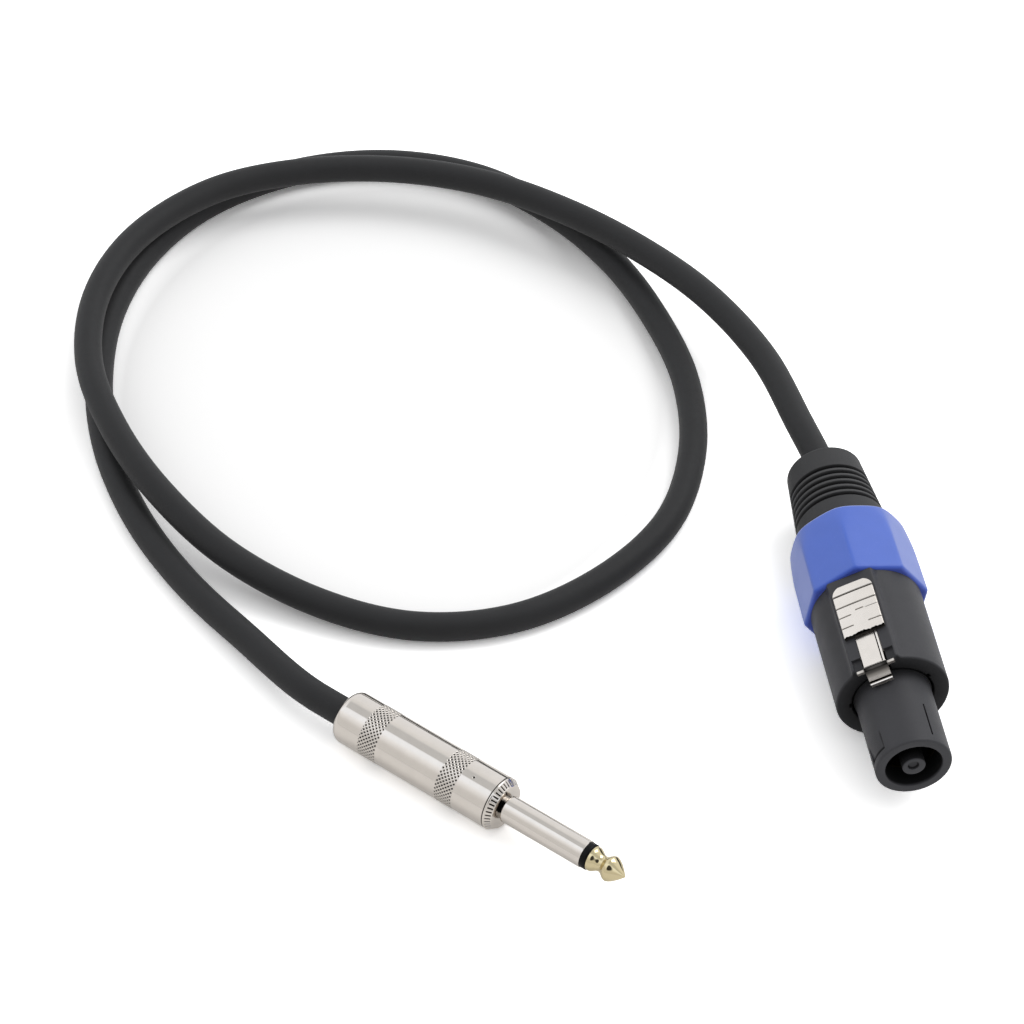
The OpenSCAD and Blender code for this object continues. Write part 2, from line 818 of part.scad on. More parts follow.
// Conductor from the jacket's end to a terminal, with its bare end in the clamp
module speaker_lead(index) {
    insulation_end = terminal_end - 4 * slide_clear;
    bare_len = terminal_len - 1.2;
    at_latch()
    rotate([0, 0, contact_angle(index)])
        stripped_lead(jacket_end_speaker, insulation_end, terminal_r, bare_len);
}

module lead_plus_speaker() {
    color(red_insulation)
        speaker_lead(0);
}

module lead_minus_speaker() {
    color(black_insulation)
        speaker_lead(2);
}

// ---- Cable ----

// Points from a to b with count steps, without b
function steps_between(a, b, count) = [for (i = [0:count - 1]) a + (b - a) * i / count];

function cable_path() =
    let (
        start = jack_point(jacket_end_jack),
        leave = jack_point(barrel_end - barrel_travel - 2),
        arrive = connector_point(boot_end + nut_pitch * nut_turns),
        finish = connector_point(jacket_end_speaker),
        layer = cable_d + lay_gap,
        free = [for (p = cable_route) [p[0], p[1] + cable_shift, cable_r + p[2] * layer]]
    )
    concat(
        steps_between(start, leave, 2),
        smooth_curve(concat([leave], free, [arrive]), -jack_axis(), [0, -1, 0], 2),
        [(arrive + finish) / 2, finish]
    );

module cable() {
    path = cable_path();
    echo(cable_length = route_length(path), cable_least_gap = least_gap(path, cable_d, 5));
    color(cable_black)
        swept_tube(path, cable_r, cable_sides, [0, 0, 1]);
}

// ---- Jack ----

// Barrel that screws over the collar's stub and closes round the cable
module jack_barrel() {
    color(bright_metal)
    at_jack()
    revolve(concat(
        [[barrel_hole_r, barrel_floor], [barrel_hole_r, barrel_end]],
        arc([barrel_r - barrel_edge_r, barrel_end + barrel_edge_r], barrel_edge_r, -90, 0),
        [[barrel_r, barrel_front], [barrel_bore_r, barrel_front], [barrel_bore_r, barrel_floor]]
    ));
}

// Collar with a fluted bevel, a threaded stub behind it and a neck that carries the sleeve
module jack_collar() {
    bevel_angle = atan(bevel_drop / bevel_len);
    flute_w = 0.35;
    flute_depth = 0.25;
    color(bright_metal)
    at_jack()
    difference() {
        revolve([
            [collar_bore_r, -stub_len], [stub_r, -stub_len], [stub_r, 0], [barrel_r, 0],
            [barrel_r, collar_len - bevel_len], [barrel_r - bevel_drop, collar_len],
            [neck_d / 2, collar_len], [neck_d / 2, sleeve_back], [collar_bore_r, sleeve_back]
        ]);
        for (index = [0:flute_count - 1])
            rotate([0, 0, 360 * index / flute_count])
                translate([barrel_r - bevel_drop / 2, 0, collar_len - bevel_len / 2])
                    rotate([0, -bevel_angle, 0])
                        cube([2 * flute_depth, flute_w, bevel_len + 3 * flute_depth], center = true);
    }
}

// Plug sleeve with the thin tail that runs through the collar
module jack_sleeve() {
    color(bright_metal)
    at_jack()
    revolve([
        [sleeve_bore_r, sleeve_tail_end], [sleeve_tail_r, sleeve_tail_end], [sleeve_tail_r, sleeve_back],
        [plug_r, sleeve_back], [plug_r, sleeve_end], [sleeve_bore_r, sleeve_end]
    ]);
}

// Insulating ring behind the tip and the thin tube that lines the sleeve
module tip_insulator() {
    color(black_plastic)
    at_jack()
    revolve([
        [insulator_bore_r, washer_end], [insulator_r, washer_end], [insulator_r, sleeve_end],
        [ring_d / 2, sleeve_end], [ring_d / 2, tip_back], [insulator_bore_r, tip_back]
    ]);
}

// Wave between two radii, from share 0 to share 1
function wave(r0, r1, t) = r0 + (r1 - r0) * (1 - cos(180 * t)) / 2;

// Tip with its waist and bulb, the rod through the plug and the riveted rear end
module tip_contact() {
    shoulder = 0.06 * tip_len;
    waist = 0.31 * tip_len;
    bulb = 0.57 * tip_len;
    steps = 8;
    nose_power = 1.45;
    rivet_r = rod_r + 0.5;
    color(pale_gold)
    at_jack()
    revolve(concat(
        [[0, rod_end], [rivet_r, rod_end], [rivet_r, tip_lug_end], [rod_r, tip_lug_end], [rod_r, tip_back]],
        [[tip_base_d / 2, tip_back]],
        [for (i = [0:steps]) [
            wave(tip_base_d / 2, tip_waist_d / 2, i / steps),
            tip_back + shoulder + (waist - shoulder) * i / steps
        ]],
        [for (i = [1:steps]) [
            wave(tip_waist_d / 2, tip_bulb_d / 2, i / steps),
            tip_back + waist + (bulb - waist) * i / steps
        ]],
        [for (i = [1:steps]) [
            tip_bulb_d / 2 * (1 - pow(i / steps, nose_power)),
            tip_back + bulb + (tip_len - bulb) * i / steps
        ]]
    ));
}

// Insulating washer between the two solder lugs
module rear_washer() {
    color(brass)
    at_jack()
        ring(washer_end, sleeve_tail_end, lug_r + slide_clear, insulator_r + seat_clear);
}

// Solder lug on the tip's rod
module tip_lug() {
    tongue_w = 2.4;
    color(brass)
    at_jack()
    rotate([0, 0, -90])
    union() {
        ring(tip_lug_end, washer_end, lug_r, rod_r + seat_clear);
        slab(tongue_w, tongue_top - tongue_t, tongue_top, tongue_end, washer_end);
    }
}

// Solder lug of the sleeve, with the strip and the clamp ring round the jacket
module sleeve_terminal() {
    plate_r = strip_in + strip_t + 0.15;
    crimp_t = 0.7;
    color(brass)
    at_jack()
    rotate([0, 0, 90])
    difference() {
        union() {
            ring(-stub_len - lug_t, -stub_len, plate_r);
            slab(strip_w, strip_in, strip_in + strip_t, crimp_front - crimp_len, -stub_len);
            ring(crimp_front - crimp_len, crimp_front, grip_r + crimp_t);
        }
        ring(-stub_len - lug_t - overcut, -stub_len + overcut, collar_bore_r);
        ring(crimp_front - crimp_len - overcut, crimp_front + overcut, grip_r);
    }
}

module insulating_liner() {
    color(white_plastic)
    at_jack()
        ring(barrel_floor + cable_clear, -stub_len - 1, liner_r, liner_r - liner_t);
}

// Conductor in the jack: side -1 runs to the tip's lug, side 1 to the sleeve's strip
module jack_lead(side, lug_face, insulation_end) {
    bare_len = 4;
    lift = (conductor_d - bare_wire_d) / 2;
    at_jack()
    rotate([0, 0, 90 * side])
        stripped_lead(jacket_end_jack, insulation_end, lug_face - conductor_d / 2, bare_len, lift);
}

module lead_tip() {
    color(red_insulation)
        jack_lead(-1, tongue_top - tongue_t, tongue_end - lug_t);
}

module lead_sleeve() {
    color(black_insulation)
        jack_lead(1, strip_in, tongue_end - conductor_d);
}

contact_insert();
connector_housing();
contact_plus_one();
contact_minus_one();
contact_plus_two();
contact_minus_two();
terminal_screws();
latch_slide();
latch_spring();
clamp_nut();
strain_relief_boot();
cable_chuck();
lead_plus_speaker();
lead_minus_speaker();
cable();
jack_barrel();
jack_collar();
jack_sleeve();
tip_insulator();
tip_contact();
rear_washer();
tip_lug();
sleeve_terminal();
insulating_liner();
lead_tip();
lead_sleeve();
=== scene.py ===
import math
import bmesh
import bpy
import numpy as np
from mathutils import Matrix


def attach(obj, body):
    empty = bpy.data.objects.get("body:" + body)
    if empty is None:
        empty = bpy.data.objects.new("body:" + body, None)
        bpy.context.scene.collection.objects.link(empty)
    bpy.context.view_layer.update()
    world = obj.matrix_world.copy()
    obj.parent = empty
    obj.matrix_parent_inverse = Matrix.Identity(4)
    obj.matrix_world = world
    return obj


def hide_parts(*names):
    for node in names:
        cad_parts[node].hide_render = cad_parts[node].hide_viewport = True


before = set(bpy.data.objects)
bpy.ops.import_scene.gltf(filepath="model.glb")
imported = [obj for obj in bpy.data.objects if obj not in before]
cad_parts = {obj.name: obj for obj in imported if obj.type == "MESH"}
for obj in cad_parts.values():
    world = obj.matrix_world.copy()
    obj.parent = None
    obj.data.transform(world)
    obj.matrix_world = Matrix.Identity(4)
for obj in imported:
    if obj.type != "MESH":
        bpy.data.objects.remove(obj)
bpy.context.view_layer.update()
mm = 0.001
print("frame loaded")


# Camera

cameraPlace = {"location": (-0.1653, -0.54845, 0.6225), "target": (-0.07207, 0.0577, 0.0), "lens": 130.08}


def addObject(name, data):
    made = bpy.data.objects.new(name, data)
    bpy.context.scene.collection.objects.link(made)
    return made


def aim(thing, location, target):
    # stands a camera or a lamp at location and turns it towards the target
    way = np.array(target) - np.array(location)
    thing.location = location
    thing.rotation_euler = (math.atan2(math.hypot(way[0], way[1]), -way[2]), 0, math.atan2(-way[0], way[1]))


def makeCamera(place):
    data = bpy.data.cameras.new("studioCamera")
    data.lens = place["lens"]
    camera = addObject("studioCamera", data)
    aim(camera, place["location"], place["target"])
    bpy.context.scene.camera = camera


makeCamera(cameraPlace)


# Where the parts lie: lengths are millimetres until a mesh is made

connectorPlace = {"middle": -25.2, "axisHeight": 14.069, "latchRoll": 23.0}
jackPlace = {"x": -89.31, "y": -35.6, "axisHeight": 6.25, "heading": -46.0}


def turned(x, y, degrees):
    # x and y turned counter-clockwise
    c, s = math.cos(math.radians(degrees)), math.sin(math.radians(degrees))
    return x * c - y * s, x * s + y * c


def atConnector(points):
    # local (across, up, station towards the nose) to the frame's x, y, z
    x, up, station = points[..., 0], points[..., 1], points[..., 2]
    place = connectorPlace
    return np.stack([x, place["middle"] - station, up + place["axisHeight"]], axis=-1)


def atLatch(points):
    # the connector's frame rolled to the latch's side
    x, up = turned(points[..., 0], points[..., 1], connectorPlace["latchRoll"])
    return atConnector(np.stack([x, up, points[..., 2]], axis=-1))


def atJack(points):
    # local (across, up, station towards the tip) to the frame's x, y, z
    place = jackPlace
    x, y = turned(points[..., 2], points[..., 0], place["heading"])
    return np.stack([place["x"] + x, place["y"] + y, place["axisHeight"] + points[..., 1]], axis=-1)


def jackPoint(station):
    return atJack(np.array([0.0, 0.0, station]))


def connectorPoint(station):
    return atConnector(np.array([0.0, 0.0, station]))


# Making meshes from grids of points

class Grid:
    # rows x columns of points in millimetres, closed round its columns
    # ends: "loop" joins the last row to the first, "poles" leaves rows that shrink to a point,
    # "caps" closes the first and the last row with a face each
    # tone: 1 where the most shade is painted on the finish, 0 where it is plain and -1 where the brightest
    # highlight is painted
    def __init__(self, points, ends="loop", tone=0.0):
        self.points = points
        self.ends = ends
        self.tone = np.broadcast_to(tone, points.shape[:2])

    def faces(self):
        # quads between neighbouring rows and columns
        rows, columns = self.points.shape[:2]
        i = np.arange(rows if self.ends == "loop" else rows - 1)[:, None]
        j = np.arange(columns)[None, :]
        nextI, nextJ = (i + 1) % rows, (j + 1) % columns
        corners = [i * columns + j, nextI * columns + j, nextI * columns + nextJ, i * columns + nextJ]
        quads = np.stack(np.broadcast_arrays(*corners), axis=-1).reshape(-1, 4).tolist()
        if self.ends == "caps":
            quads.append(list(range(columns)))
            quads.append(list(range(rows * columns - 1, (rows - 1) * columns - 1, -1)))
        return quads


def makePiece(name, grids, place, finish, body, replaced, sharpAngle=40, bevel=None):
    # one object from closed grids, each brought into the frame by place, in the replaced nodes' stead
    vertices, faces = [], []
    for grid in grids:
        first = sum(len(v) for v in vertices)
        vertices.append(place(grid.points).reshape(-1, 3) * mm)
        faces += [[first + k for k in face] for face in grid.faces()]
    mesh = bpy.data.meshes.new(name)
    mesh.from_pydata(np.concatenate(vertices).tolist(), [], faces, shade_flat=False)
    mesh.update()
    layer = mesh.attributes.new("tone", "FLOAT", "POINT")
    layer.data.foreach_set("value", np.concatenate([grid.tone.ravel() for grid in grids]))
    editable = bmesh.new()
    editable.from_mesh(mesh)
    bmesh.ops.remove_doubles(editable, verts=editable.verts, dist=1e-7)
    bmesh.ops.dissolve_degenerate(editable, edges=editable.edges, dist=1e-8)
    bmesh.ops.recalc_face_normals(editable, faces=editable.faces)
    editable.to_mesh(mesh)
    editable.free()
    piece = addObject(name, mesh)
    mesh.materials.append(finish)
    if bevel:
        rounding = piece.modifiers.new("edges", "BEVEL")
        rounding.width = bevel * mm
        rounding.segments = 2
        rounding.limit_method = "ANGLE"
        rounding.angle_limit = math.radians(sharpAngle)
        rounding.harden_normals = True
    else:
        mesh.set_sharp_from_angle(angle=math.radians(sharpAngle))
    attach(piece, body)
    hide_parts(*replaced)
    print(name, len(mesh.polygons), "faces")
    return piece


def inPlace(points):
    # points that already are in the frame
    return points


def arc(centreR, centreS, radius, fromAngle, toAngle, steps):
    # points of a circle round a centre, as radius and station
    angle = np.radians(np.linspace(fromAngle, toAngle, steps + 1))
    return np.stack([centreR + radius * np.cos(angle), centreS + radius * np.sin(angle)], axis=-1)


def line(start, end, count):
    # count points from start towards end, without end
    share = (np.arange(count) / count)[:, None]
    return np.array(start, dtype=float) + (np.array(end, dtype=float) - np.array(start, dtype=float)) * share


def outline(*parts):
    # one list of radius and station from points, arcs and lines
    return np.vstack([np.atleast_2d(np.array(part, dtype=float)) for part in parts])


def turn(radii, stations, angles):
    # point at each radius and station, at each angle counted from the top round the axis
    angle = np.radians(angles)[None, :]
    radii = np.broadcast_to(radii if radii.ndim == 2 else radii[:, None], (len(stations), angle.shape[1]))
    stations = stations if stations.ndim == 2 else stations[:, None]
    points = [-radii * np.sin(angle), radii * np.cos(angle), np.broadcast_to(stations, radii.shape)]
    return np.stack(points, axis=-1)


def rings(pairs, tone=0.0):
    # part of a skin with round rows: radius and station of each
    pairs = np.array(pairs, dtype=float)
    return pairs[:, 0], pairs[:, 1], tone


def turnedGrid(parts, angles, ends="loop"):
    # one grid from parts that follow each other along the skin, each with its radii, stations and tone:
    # a tone or a radius is one value for the part, a list for its rows or an array for its points
    layers = []
    for part in parts:
        shape = (len(part[1]), len(angles))
        values = [np.asarray(value, dtype=float) for value in part]
        layers.append([np.broadcast_to(v[:, None] if v.ndim == 1 else v, shape) for v in values])
    radii, stations, tones = [np.vstack(layer) for layer in zip(*layers)]
    return Grid(turn(radii, stations, angles), ends, tones)


def split(values, edges):
    # sorted values with every edge twice, and where each of them reads a stepped pattern
    nudge = 1e-4
    plain = [v for v in values if min(abs(v - e) for e in edges) > nudge]
    places = sorted([(v, v) for v in plain] + [(e, e + side * nudge) for e in edges for side in (-1, 1)],
                    key=lambda pair: pair[1])
    return np.array(places).T


def smoothStep(value):
    # 0 below 0, 1 above 1 and a soft S between them
    share = np.clip(value, 0, 1)
    return share * share * (3 - 2 * share)


def threadWave(stations, angles, pitch, rise=0.36):
    # right-handed thread: 0 in the groove and 1 on the crest, from the share of a turn at each point
    share = (stations / pitch - angles / 360) % 1
    return smoothStep((1 - np.abs(2 * share - 1) - 0.5 + rise / 2) / rise)


# Shader maths

class Value:
    # a node's output: operators on it add Math nodes
    def __init__(self, tree, socket):
        self.tree = tree
        self.socket = socket

    def maths(self, operation, *others):
        sockets = dict(enumerate((self, *others)))
        return self.tree.node("ShaderNodeMath", {"operation": operation}, sockets)

    def __add__(self, other):
        return self.maths("ADD", other)

    def __sub__(self, other):
        return self.maths("SUBTRACT", other)

    def __mul__(self, other):
        return self.maths("MULTIPLY", other)

    def __truediv__(self, other):
        return self.maths("DIVIDE", other)

    def __rsub__(self, other):
        return self.tree.node("ShaderNodeMath", {"operation": "SUBTRACT"}, {0: other, 1: self})

    __radd__ = __add__

    def smallest(self, other):
        return self.maths("MINIMUM", other)

    def largest(self, other):
        return self.maths("MAXIMUM", other)

    def clipped(self):
        # held between 0 and 1
        return self.largest(0.0).smallest(1.0)


class NodeTree:
    # the nodes of one material or of the world
    def __init__(self, owner):
        owner.use_nodes = True
        self.nodes = owner.node_tree.nodes
        self.links = owner.node_tree.links
        self.nodes.clear()

    def node(self, kind, settings=None, sockets=None, output=0):
        # settings first, then the values or links of the sockets, by name or number
        made = self.nodes.new(kind)
        for name, value in (settings or {}).items():
            if name == "stops":
                self.setStops(made.color_ramp, value)
            else:
                setattr(made, name, value)
        for name, value in (sockets or {}).items():
            if isinstance(value, Value):
                self.links.new(value.socket, made.inputs[name])
            else:
                made.inputs[name].default_value = value
        return Value(self, made.outputs[output]) if len(made.outputs) else made

    def setStops(self, ramp, stops):
        while len(ramp.elements) < len(stops):
            ramp.elements.new(0.5)
        for element, (place, colour) in zip(ramp.elements, stops):
            element.position = place
            element.color = (*colour[:3], 1)

    def ramp(self, factor, stops):
        return self.node("ShaderNodeValToRGB", {"stops": stops}, {0: factor})

    def mixed(self, factor, first, second):
        # colour between first and second
        settings = {"data_type": "RGBA"}
        colours = [c if isinstance(c, Value) else (*c[:3], 1) for c in (first, second)]
        return self.node("ShaderNodeMix", settings, {0: factor, 6: colours[0], 7: colours[1]}, output=2)

    def along(self, vector, axis):
        # length of the vector along an axis
        return self.node("ShaderNodeVectorMath", {"operation": "DOT_PRODUCT"}, {0: vector, 1: axis}, output=1)

    def rays(self, *names):
        # 1 for rays of each kind
        outputs = self.node("ShaderNodeLightPath").socket.node.outputs
        return [Value(self, outputs[name]) for name in names]

    def mapped(self, vector, scale, offset=(0.0, 0.0, 0.0)):
        # vector times scale, plus offset
        sockets = {"Vector": vector, "Scale": scale, "Location": offset}
        return self.node("ShaderNodeMapping", {"vector_type": "POINT"}, sockets)

    def noise(self, scale, detail=2.0, roughness=0.5):
        # noise from 0 to 1, scale features to a millimetre
        place = self.mapped(self.node("ShaderNodeTexCoord", output=3), (1 / mm,) * 3)
        sockets = {"Vector": place, "Scale": scale, "Detail": detail, "Roughness": roughness}
        return self.node("ShaderNodeTexNoise", sockets=sockets)

    def toned(self, colour, look):
        # colour darkened by painted shade and lightened by painted highlight where the mesh's tone says so,
        # and how dark it is made
        tone = self.node("ShaderNodeAttribute", {"attribute_name": "tone"}, output=2)
        dark, light = tone.clipped(), (tone * -1.0).clipped()
        colour = self.mixed(dark, colour, linear(*look["deep"]))
        return self.mixed(light, colour, linear(*look["worn"])), dark

    def bump(self, height, distance):
        # normal of a surface raised by height times distance, which is in millimetres
        sockets = {"Height": height, "Distance": distance * mm, "Strength": 1.0}
        return self.node("ShaderNodeBump", sockets=sockets)


def linear(red, green, blue):
    # a colour written as 0 to 255 in sRGB, as linear values for a socket
    values = []
    for level in (red, green, blue):
        share = level / 255
        values.append(share / 12.92 if share <= 0.04045 else ((share + 0.055) / 1.055) ** 2.4)
    return (*values, 1.0)


def newFinish(name):
    finish = bpy.data.materials.new(name)
    return finish, NodeTree(finish)


def surface(tree, fixed, varying):
    # principled shader into the output: fixed holds plain values, varying holds links
    shader = tree.node("ShaderNodeBsdfPrincipled", sockets={**fixed, **varying})
    tree.node("ShaderNodeOutputMaterial", sockets={"Surface": shader})


# Finishes

# deep is the colour of painted shade, and the colour after it that of painted highlight
blackPlasticLook = {
    "colour": (60, 60, 63), "dust": (96, 96, 98), "deep": (4, 4, 4), "worn": (92, 92, 94),
    "roughness": 0.45, "grain": 9.0, "grainHeight": 0.02, "specular": 0.18, "sheen": 0.0,
}


def mouldedPlastic(name, look):
    # fine spark-eroded grain, a little uneven gloss and a trace of pale dust, with painted shade and painted
    # highlights from the mesh's tone
    finish, tree = newFinish(name)
    grain = tree.noise(look["grain"], detail=3.0, roughness=0.6)
    cloud = tree.noise(0.25, detail=3.0)
    dust = tree.noise(2.2, detail=4.0, roughness=0.7)
    dustMask = (dust - 0.62).largest(0.0) * 1.2
    base = tree.mixed(cloud * 0.25, linear(*look["colour"]), linear(*[c * 0.8 for c in look["colour"]]))
    colour, dark = tree.toned(tree.mixed(dustMask, base, linear(*look["dust"])), look)
    roughness = look["roughness"] + (cloud - 0.5) * 0.12 + dustMask * 0.5 + dark * 0.3
    normal = tree.bump(grain, look["grainHeight"])
    fixed = {"IOR": 1.49, "Specular IOR Level": look["specular"], "Sheen Weight": look["sheen"]}
    surface(tree, fixed, {"Base Color": colour, "Roughness": roughness, "Normal": normal})
    return finish


cableLook = {
    "colour": (33, 33, 34), "roughness": 0.62, "grain": 5.0, "grainHeight": 0.03, "specular": 0.25,
    "sheen": 0.06, "spread": 0.14,  # of the colour, up and down
    "streaks": (9.0, 40.0, 1.0),  # round the cable and along it
}


def cableJacket(name, look):
    # soft extruded jacket: fine grain, faint long streaks along its own length from the UV map
    finish, tree = newFinish(name)
    stretched = tree.node("ShaderNodeMapping", sockets={
        "Vector": tree.node("ShaderNodeUVMap", {"uv_map": "jacket"}), "Scale": look["streaks"]})
    streaks = tree.node("ShaderNodeTexNoise", sockets={"Vector": stretched, "Scale": 1.0, "Detail": 3.0})
    grain = tree.noise(look["grain"], detail=3.0, roughness=0.65)
    cloud = tree.noise(0.12, detail=2.0)
    tone = (streaks - 0.5) * 0.5 + (cloud - 0.5) * 0.5 + 0.5
    dark, light = [linear(*[c * share for c in look["colour"]])
                   for share in (1 - look["spread"], 1 + look["spread"])]
    colour = tree.mixed(tone, dark, light)
    roughness = look["roughness"] + (streaks - 0.5) * 0.2
    normal = tree.bump(grain, look["grainHeight"])
    fixed = {"IOR": 1.5, "Specular IOR Level": look["specular"], "Sheen Weight": look["sheen"]}
    fixed["Sheen Roughness"] = 0.5
    surface(tree, fixed, {"Base Color": colour, "Roughness": roughness, "Normal": normal})
    return finish


def brightMetal(name, look):
    # plated metal with fine polishing marks, faint smudges, painted shade in its recesses and painted
    # highlights from the mesh's tone
    finish, tree = newFinish(name)
    smudge = tree.noise(0.35, detail=4.0, roughness=0.6)
    marks = tree.noise(6.0, detail=4.0, roughness=0.7)
    plain = tree.mixed(smudge, linear(*look["colour"]), linear(*[c * 0.95 for c in look["colour"]]))
    colour, dark = tree.toned(plain, look)
    roughness = look["roughness"] + smudge * look["smudge"] + (marks - 0.5) * 0.03 + dark * 0.4
    normal = tree.bump(marks, look["markHeight"])
    surface(tree, {"Metallic": 1.0}, {"Base Color": colour, "Roughness": roughness, "Normal": normal})
    return finish


def plasticLook(colour, dust, roughness=0.5, grain=6.0, grainHeight=0.01, **more):
    # colours are 0 to 255 in sRGB, grain is in features to a millimetre and its height in millimetres
    # deep is the colour of painted shade, and the one after it, as pale as the dust, that of painted
    # highlight
    look = {"deep": [c * 0.25 for c in colour], "worn": dust, "specular": 0.5, "sheen": 0.0}
    look.update(colour=colour, dust=dust, roughness=roughness, grain=grain, grainHeight=grainHeight)
    return {**look, **more}


def metalLook(colour, roughness, smudge, markHeight):
    look = {"colour": colour, "roughness": roughness, "smudge": smudge, "markHeight": markHeight}
    # deep is the colour of painted shade, and the one after it that of painted highlight
    return {**look, "deep": (16, 15, 14), "worn": (245, 243, 240)}


plasticFinish = mouldedPlastic("blackPlasticFinish", blackPlasticLook)
cableFinish = cableJacket("cableFinish", cableLook)
# deep and the colour after it are those of painted shade and painted highlight
blueFinish = mouldedPlastic("bluePlasticFinish", plasticLook(
    (50, 92, 194), (150, 160, 215), 0.4, 9.0, 0.012, deep=(18, 54, 160), worn=(150, 168, 232), sheen=0.45))
rubberFinish = mouldedPlastic("bootRubberFinish", plasticLook(
    (52, 52, 53), (86, 86, 86), 0.6, 7.0, 0.03, deep=(2, 2, 2), worn=(66, 66, 67), specular=0.25))
ringFinish = mouldedPlastic("ringPlasticFinish", plasticLook(
    (7, 7, 7), (30, 29, 28), 0.4, 8.0, 0.006, specular=0.12))
whiteFinish = mouldedPlastic("whitePlasticFinish", plasticLook(
    (214, 214, 204), (235, 235, 230), 0.45, 8.0, 0.015))
washerFinish = mouldedPlastic("washerFibreFinish", plasticLook(
    (150, 110, 70), (180, 150, 110), 0.7, 4.0, 0.04))
redFinish = mouldedPlastic("redInsulationFinish", plasticLook((165, 40, 38), (190, 90, 85)))
darkFinish = mouldedPlastic("blackInsulationFinish", plasticLook((30, 30, 32), (70, 70, 72)))
nickelFinish = brightMetal("jackNickelFinish", metalLook((212, 205, 197), 0.06, 0.06, 0.0012))
latchFinish = brightMetal("latchMetalFinish", metalLook((221, 214, 206), 0.2, 0.14, 0.0035))
steelFinish = brightMetal("brightSteelFinish", metalLook((200, 200, 202), 0.22, 0.1, 0.003))
goldFinish = brightMetal("tipGoldFinish", metalLook((207, 193, 155), 0.05, 0.05, 0.001))
brassFinish = brightMetal("brassFinish", metalLook((205, 165, 90), 0.28, 0.14, 0.004))
bladeFinish = brightMetal("contactBladeFinish", metalLook((44, 36, 22), 0.45, 0.14, 0.004))
print("finishes made")

nodeFinishes = [
    (plasticFinish, "contact_insert connector_housing"),
    (bladeFinish, "contact_plus_one contact_minus_one contact_plus_two contact_minus_two"),
    (steelFinish, "terminal_screws latch_spring"),
    (latchFinish, "latch_slide"),
    (blueFinish, "clamp_nut"),
    (rubberFinish, "strain_relief_boot"),
    (whiteFinish, "cable_chuck insulating_liner"),
    (redFinish, "lead_plus_speaker lead_tip"),
    (darkFinish, "lead_minus_speaker lead_sleeve"),
    (cableFinish, "cable"),
    (nickelFinish, "jack_barrel jack_collar jack_sleeve"),
    (ringFinish, "tip_insulator"),
    (goldFinish, "tip_contact"),
    (washerFinish, "rear_washer"),
    (brassFinish, "tip_lug sleeve_terminal"),
]


def dressNodes(groups):
    for finish, names in groups:
        for name in names.split():
            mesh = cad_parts[name].data
            mesh.materials.clear()
            mesh.materials.append(finish)


dressNodes(nodeFinishes)


# Cable

cable = {
    "diameter": 6.8,
    "layGap": 0.8,  # clear height where one pass lies over another
    "jackEnd": -28.5,  # jacket's end inside the jack's barrel
    "jackLeave": -49.4,
    "bootArrive": -65.8,
    "connectorEnd": -31.0,  # jacket's end inside the connector
    "sides": 40,
    "steps": 16,
    "shift": 0.7,  # of the free cable along y
    "mapLength": 14,  # of the whole cable in its UV map
}
# x, y and the height of the free cable, which is counted in layers from the floor
cableRoute = [
    (-139, 23, 0.15), (-151, 44, 0), (-160, 66, 0), (-165, 90, 0), (-165, 114, 0), (-160, 138, 0),
    (-149, 159, 0), (-132, 175, 0), (-109, 184, 0), (-85, 184, 0), (-63, 175, 0), (-46, 158, 0),
    (-34, 137, 0), (-27, 114, 0), (-24, 91, 0), (-27, 67, 0), (-37, 45, 0), (-55, 29, 0),
    (-77, 20, 0), (-100, 21, 0), (-121, 31, 0.1), (-140, 47, 0.4), (-154, 67, 0.8), (-163, 89, 1),
    (-167, 113, 1), (-163, 137, 1), (-151, 157, 1), (-131, 171, 1), (-108, 175, 1), (-84, 172, 1),
    (-62, 163, 1), (-43, 148, 1.05), (-27, 130, 1.1), (-15, 110, 1.25), (-6.5, 87, 1.35),
    (-2.8, 64, 1.4),
]


def smoothRoute(points, headingIn, headingOut, steps):
    # cubic between neighbouring points, whose slope at a point is half the way between its neighbours
    before = points[1] - 2 * np.linalg.norm(points[1] - points[0]) * headingIn
    after = points[-2] + 2 * np.linalg.norm(points[-1] - points[-2]) * headingOut
    p = np.vstack([before, points, after])
    slope = (p[2:] - p[:-2]) / 2
    start, end = points[:-1, None], points[1:, None]
    m0, m1 = slope[:-1, None], slope[1:, None]
    t = (np.arange(steps) / steps)[None, :, None]
    bend = 3 * (end - start) - 2 * m0 - m1
    twist = 2 * (start - end) + m0 + m1
    curve = start + m0 * t + bend * t**2 + twist * t**3
    return np.vstack([curve.reshape(-1, 3), points[-1]])


def cablePath(sizes, route):
    layer = sizes["diameter"] + sizes["layGap"]
    free = np.array([(x, y + sizes["shift"], sizes["diameter"] / 2 + k * layer) for x, y, k in route])
    start, leave = jackPoint(sizes["jackEnd"]), jackPoint(sizes["jackLeave"])
    arrive, finish = connectorPoint(sizes["bootArrive"]), connectorPoint(sizes["connectorEnd"])
    outOfJack = leave - start
    outOfJack /= np.linalg.norm(outOfJack)
    points = np.vstack([leave, free, arrive])
    curve = smoothRoute(points, outOfJack, np.array([0.0, -1.0, 0.0]), sizes["steps"])
    return np.vstack([line(start, leave, 12), curve, line(arrive, finish, 20)[1:], finish])


def tubeGrid(path, radius, sides):
    # circle round each point of the path, square to its direction, with the top of the circle upwards
    along = np.gradient(path, axis=0)
    along /= np.linalg.norm(along, axis=1)[:, None]
    side = np.cross(along, [0.0, 0.0, 1.0])
    side /= np.linalg.norm(side, axis=1)[:, None]
    top = np.cross(side, along)
    angle = np.linspace(0, 2 * np.pi, sides, endpoint=False)[None, :, None]
    return path[:, None] + radius * (np.cos(angle) * top[:, None] + np.sin(angle) * side[:, None])


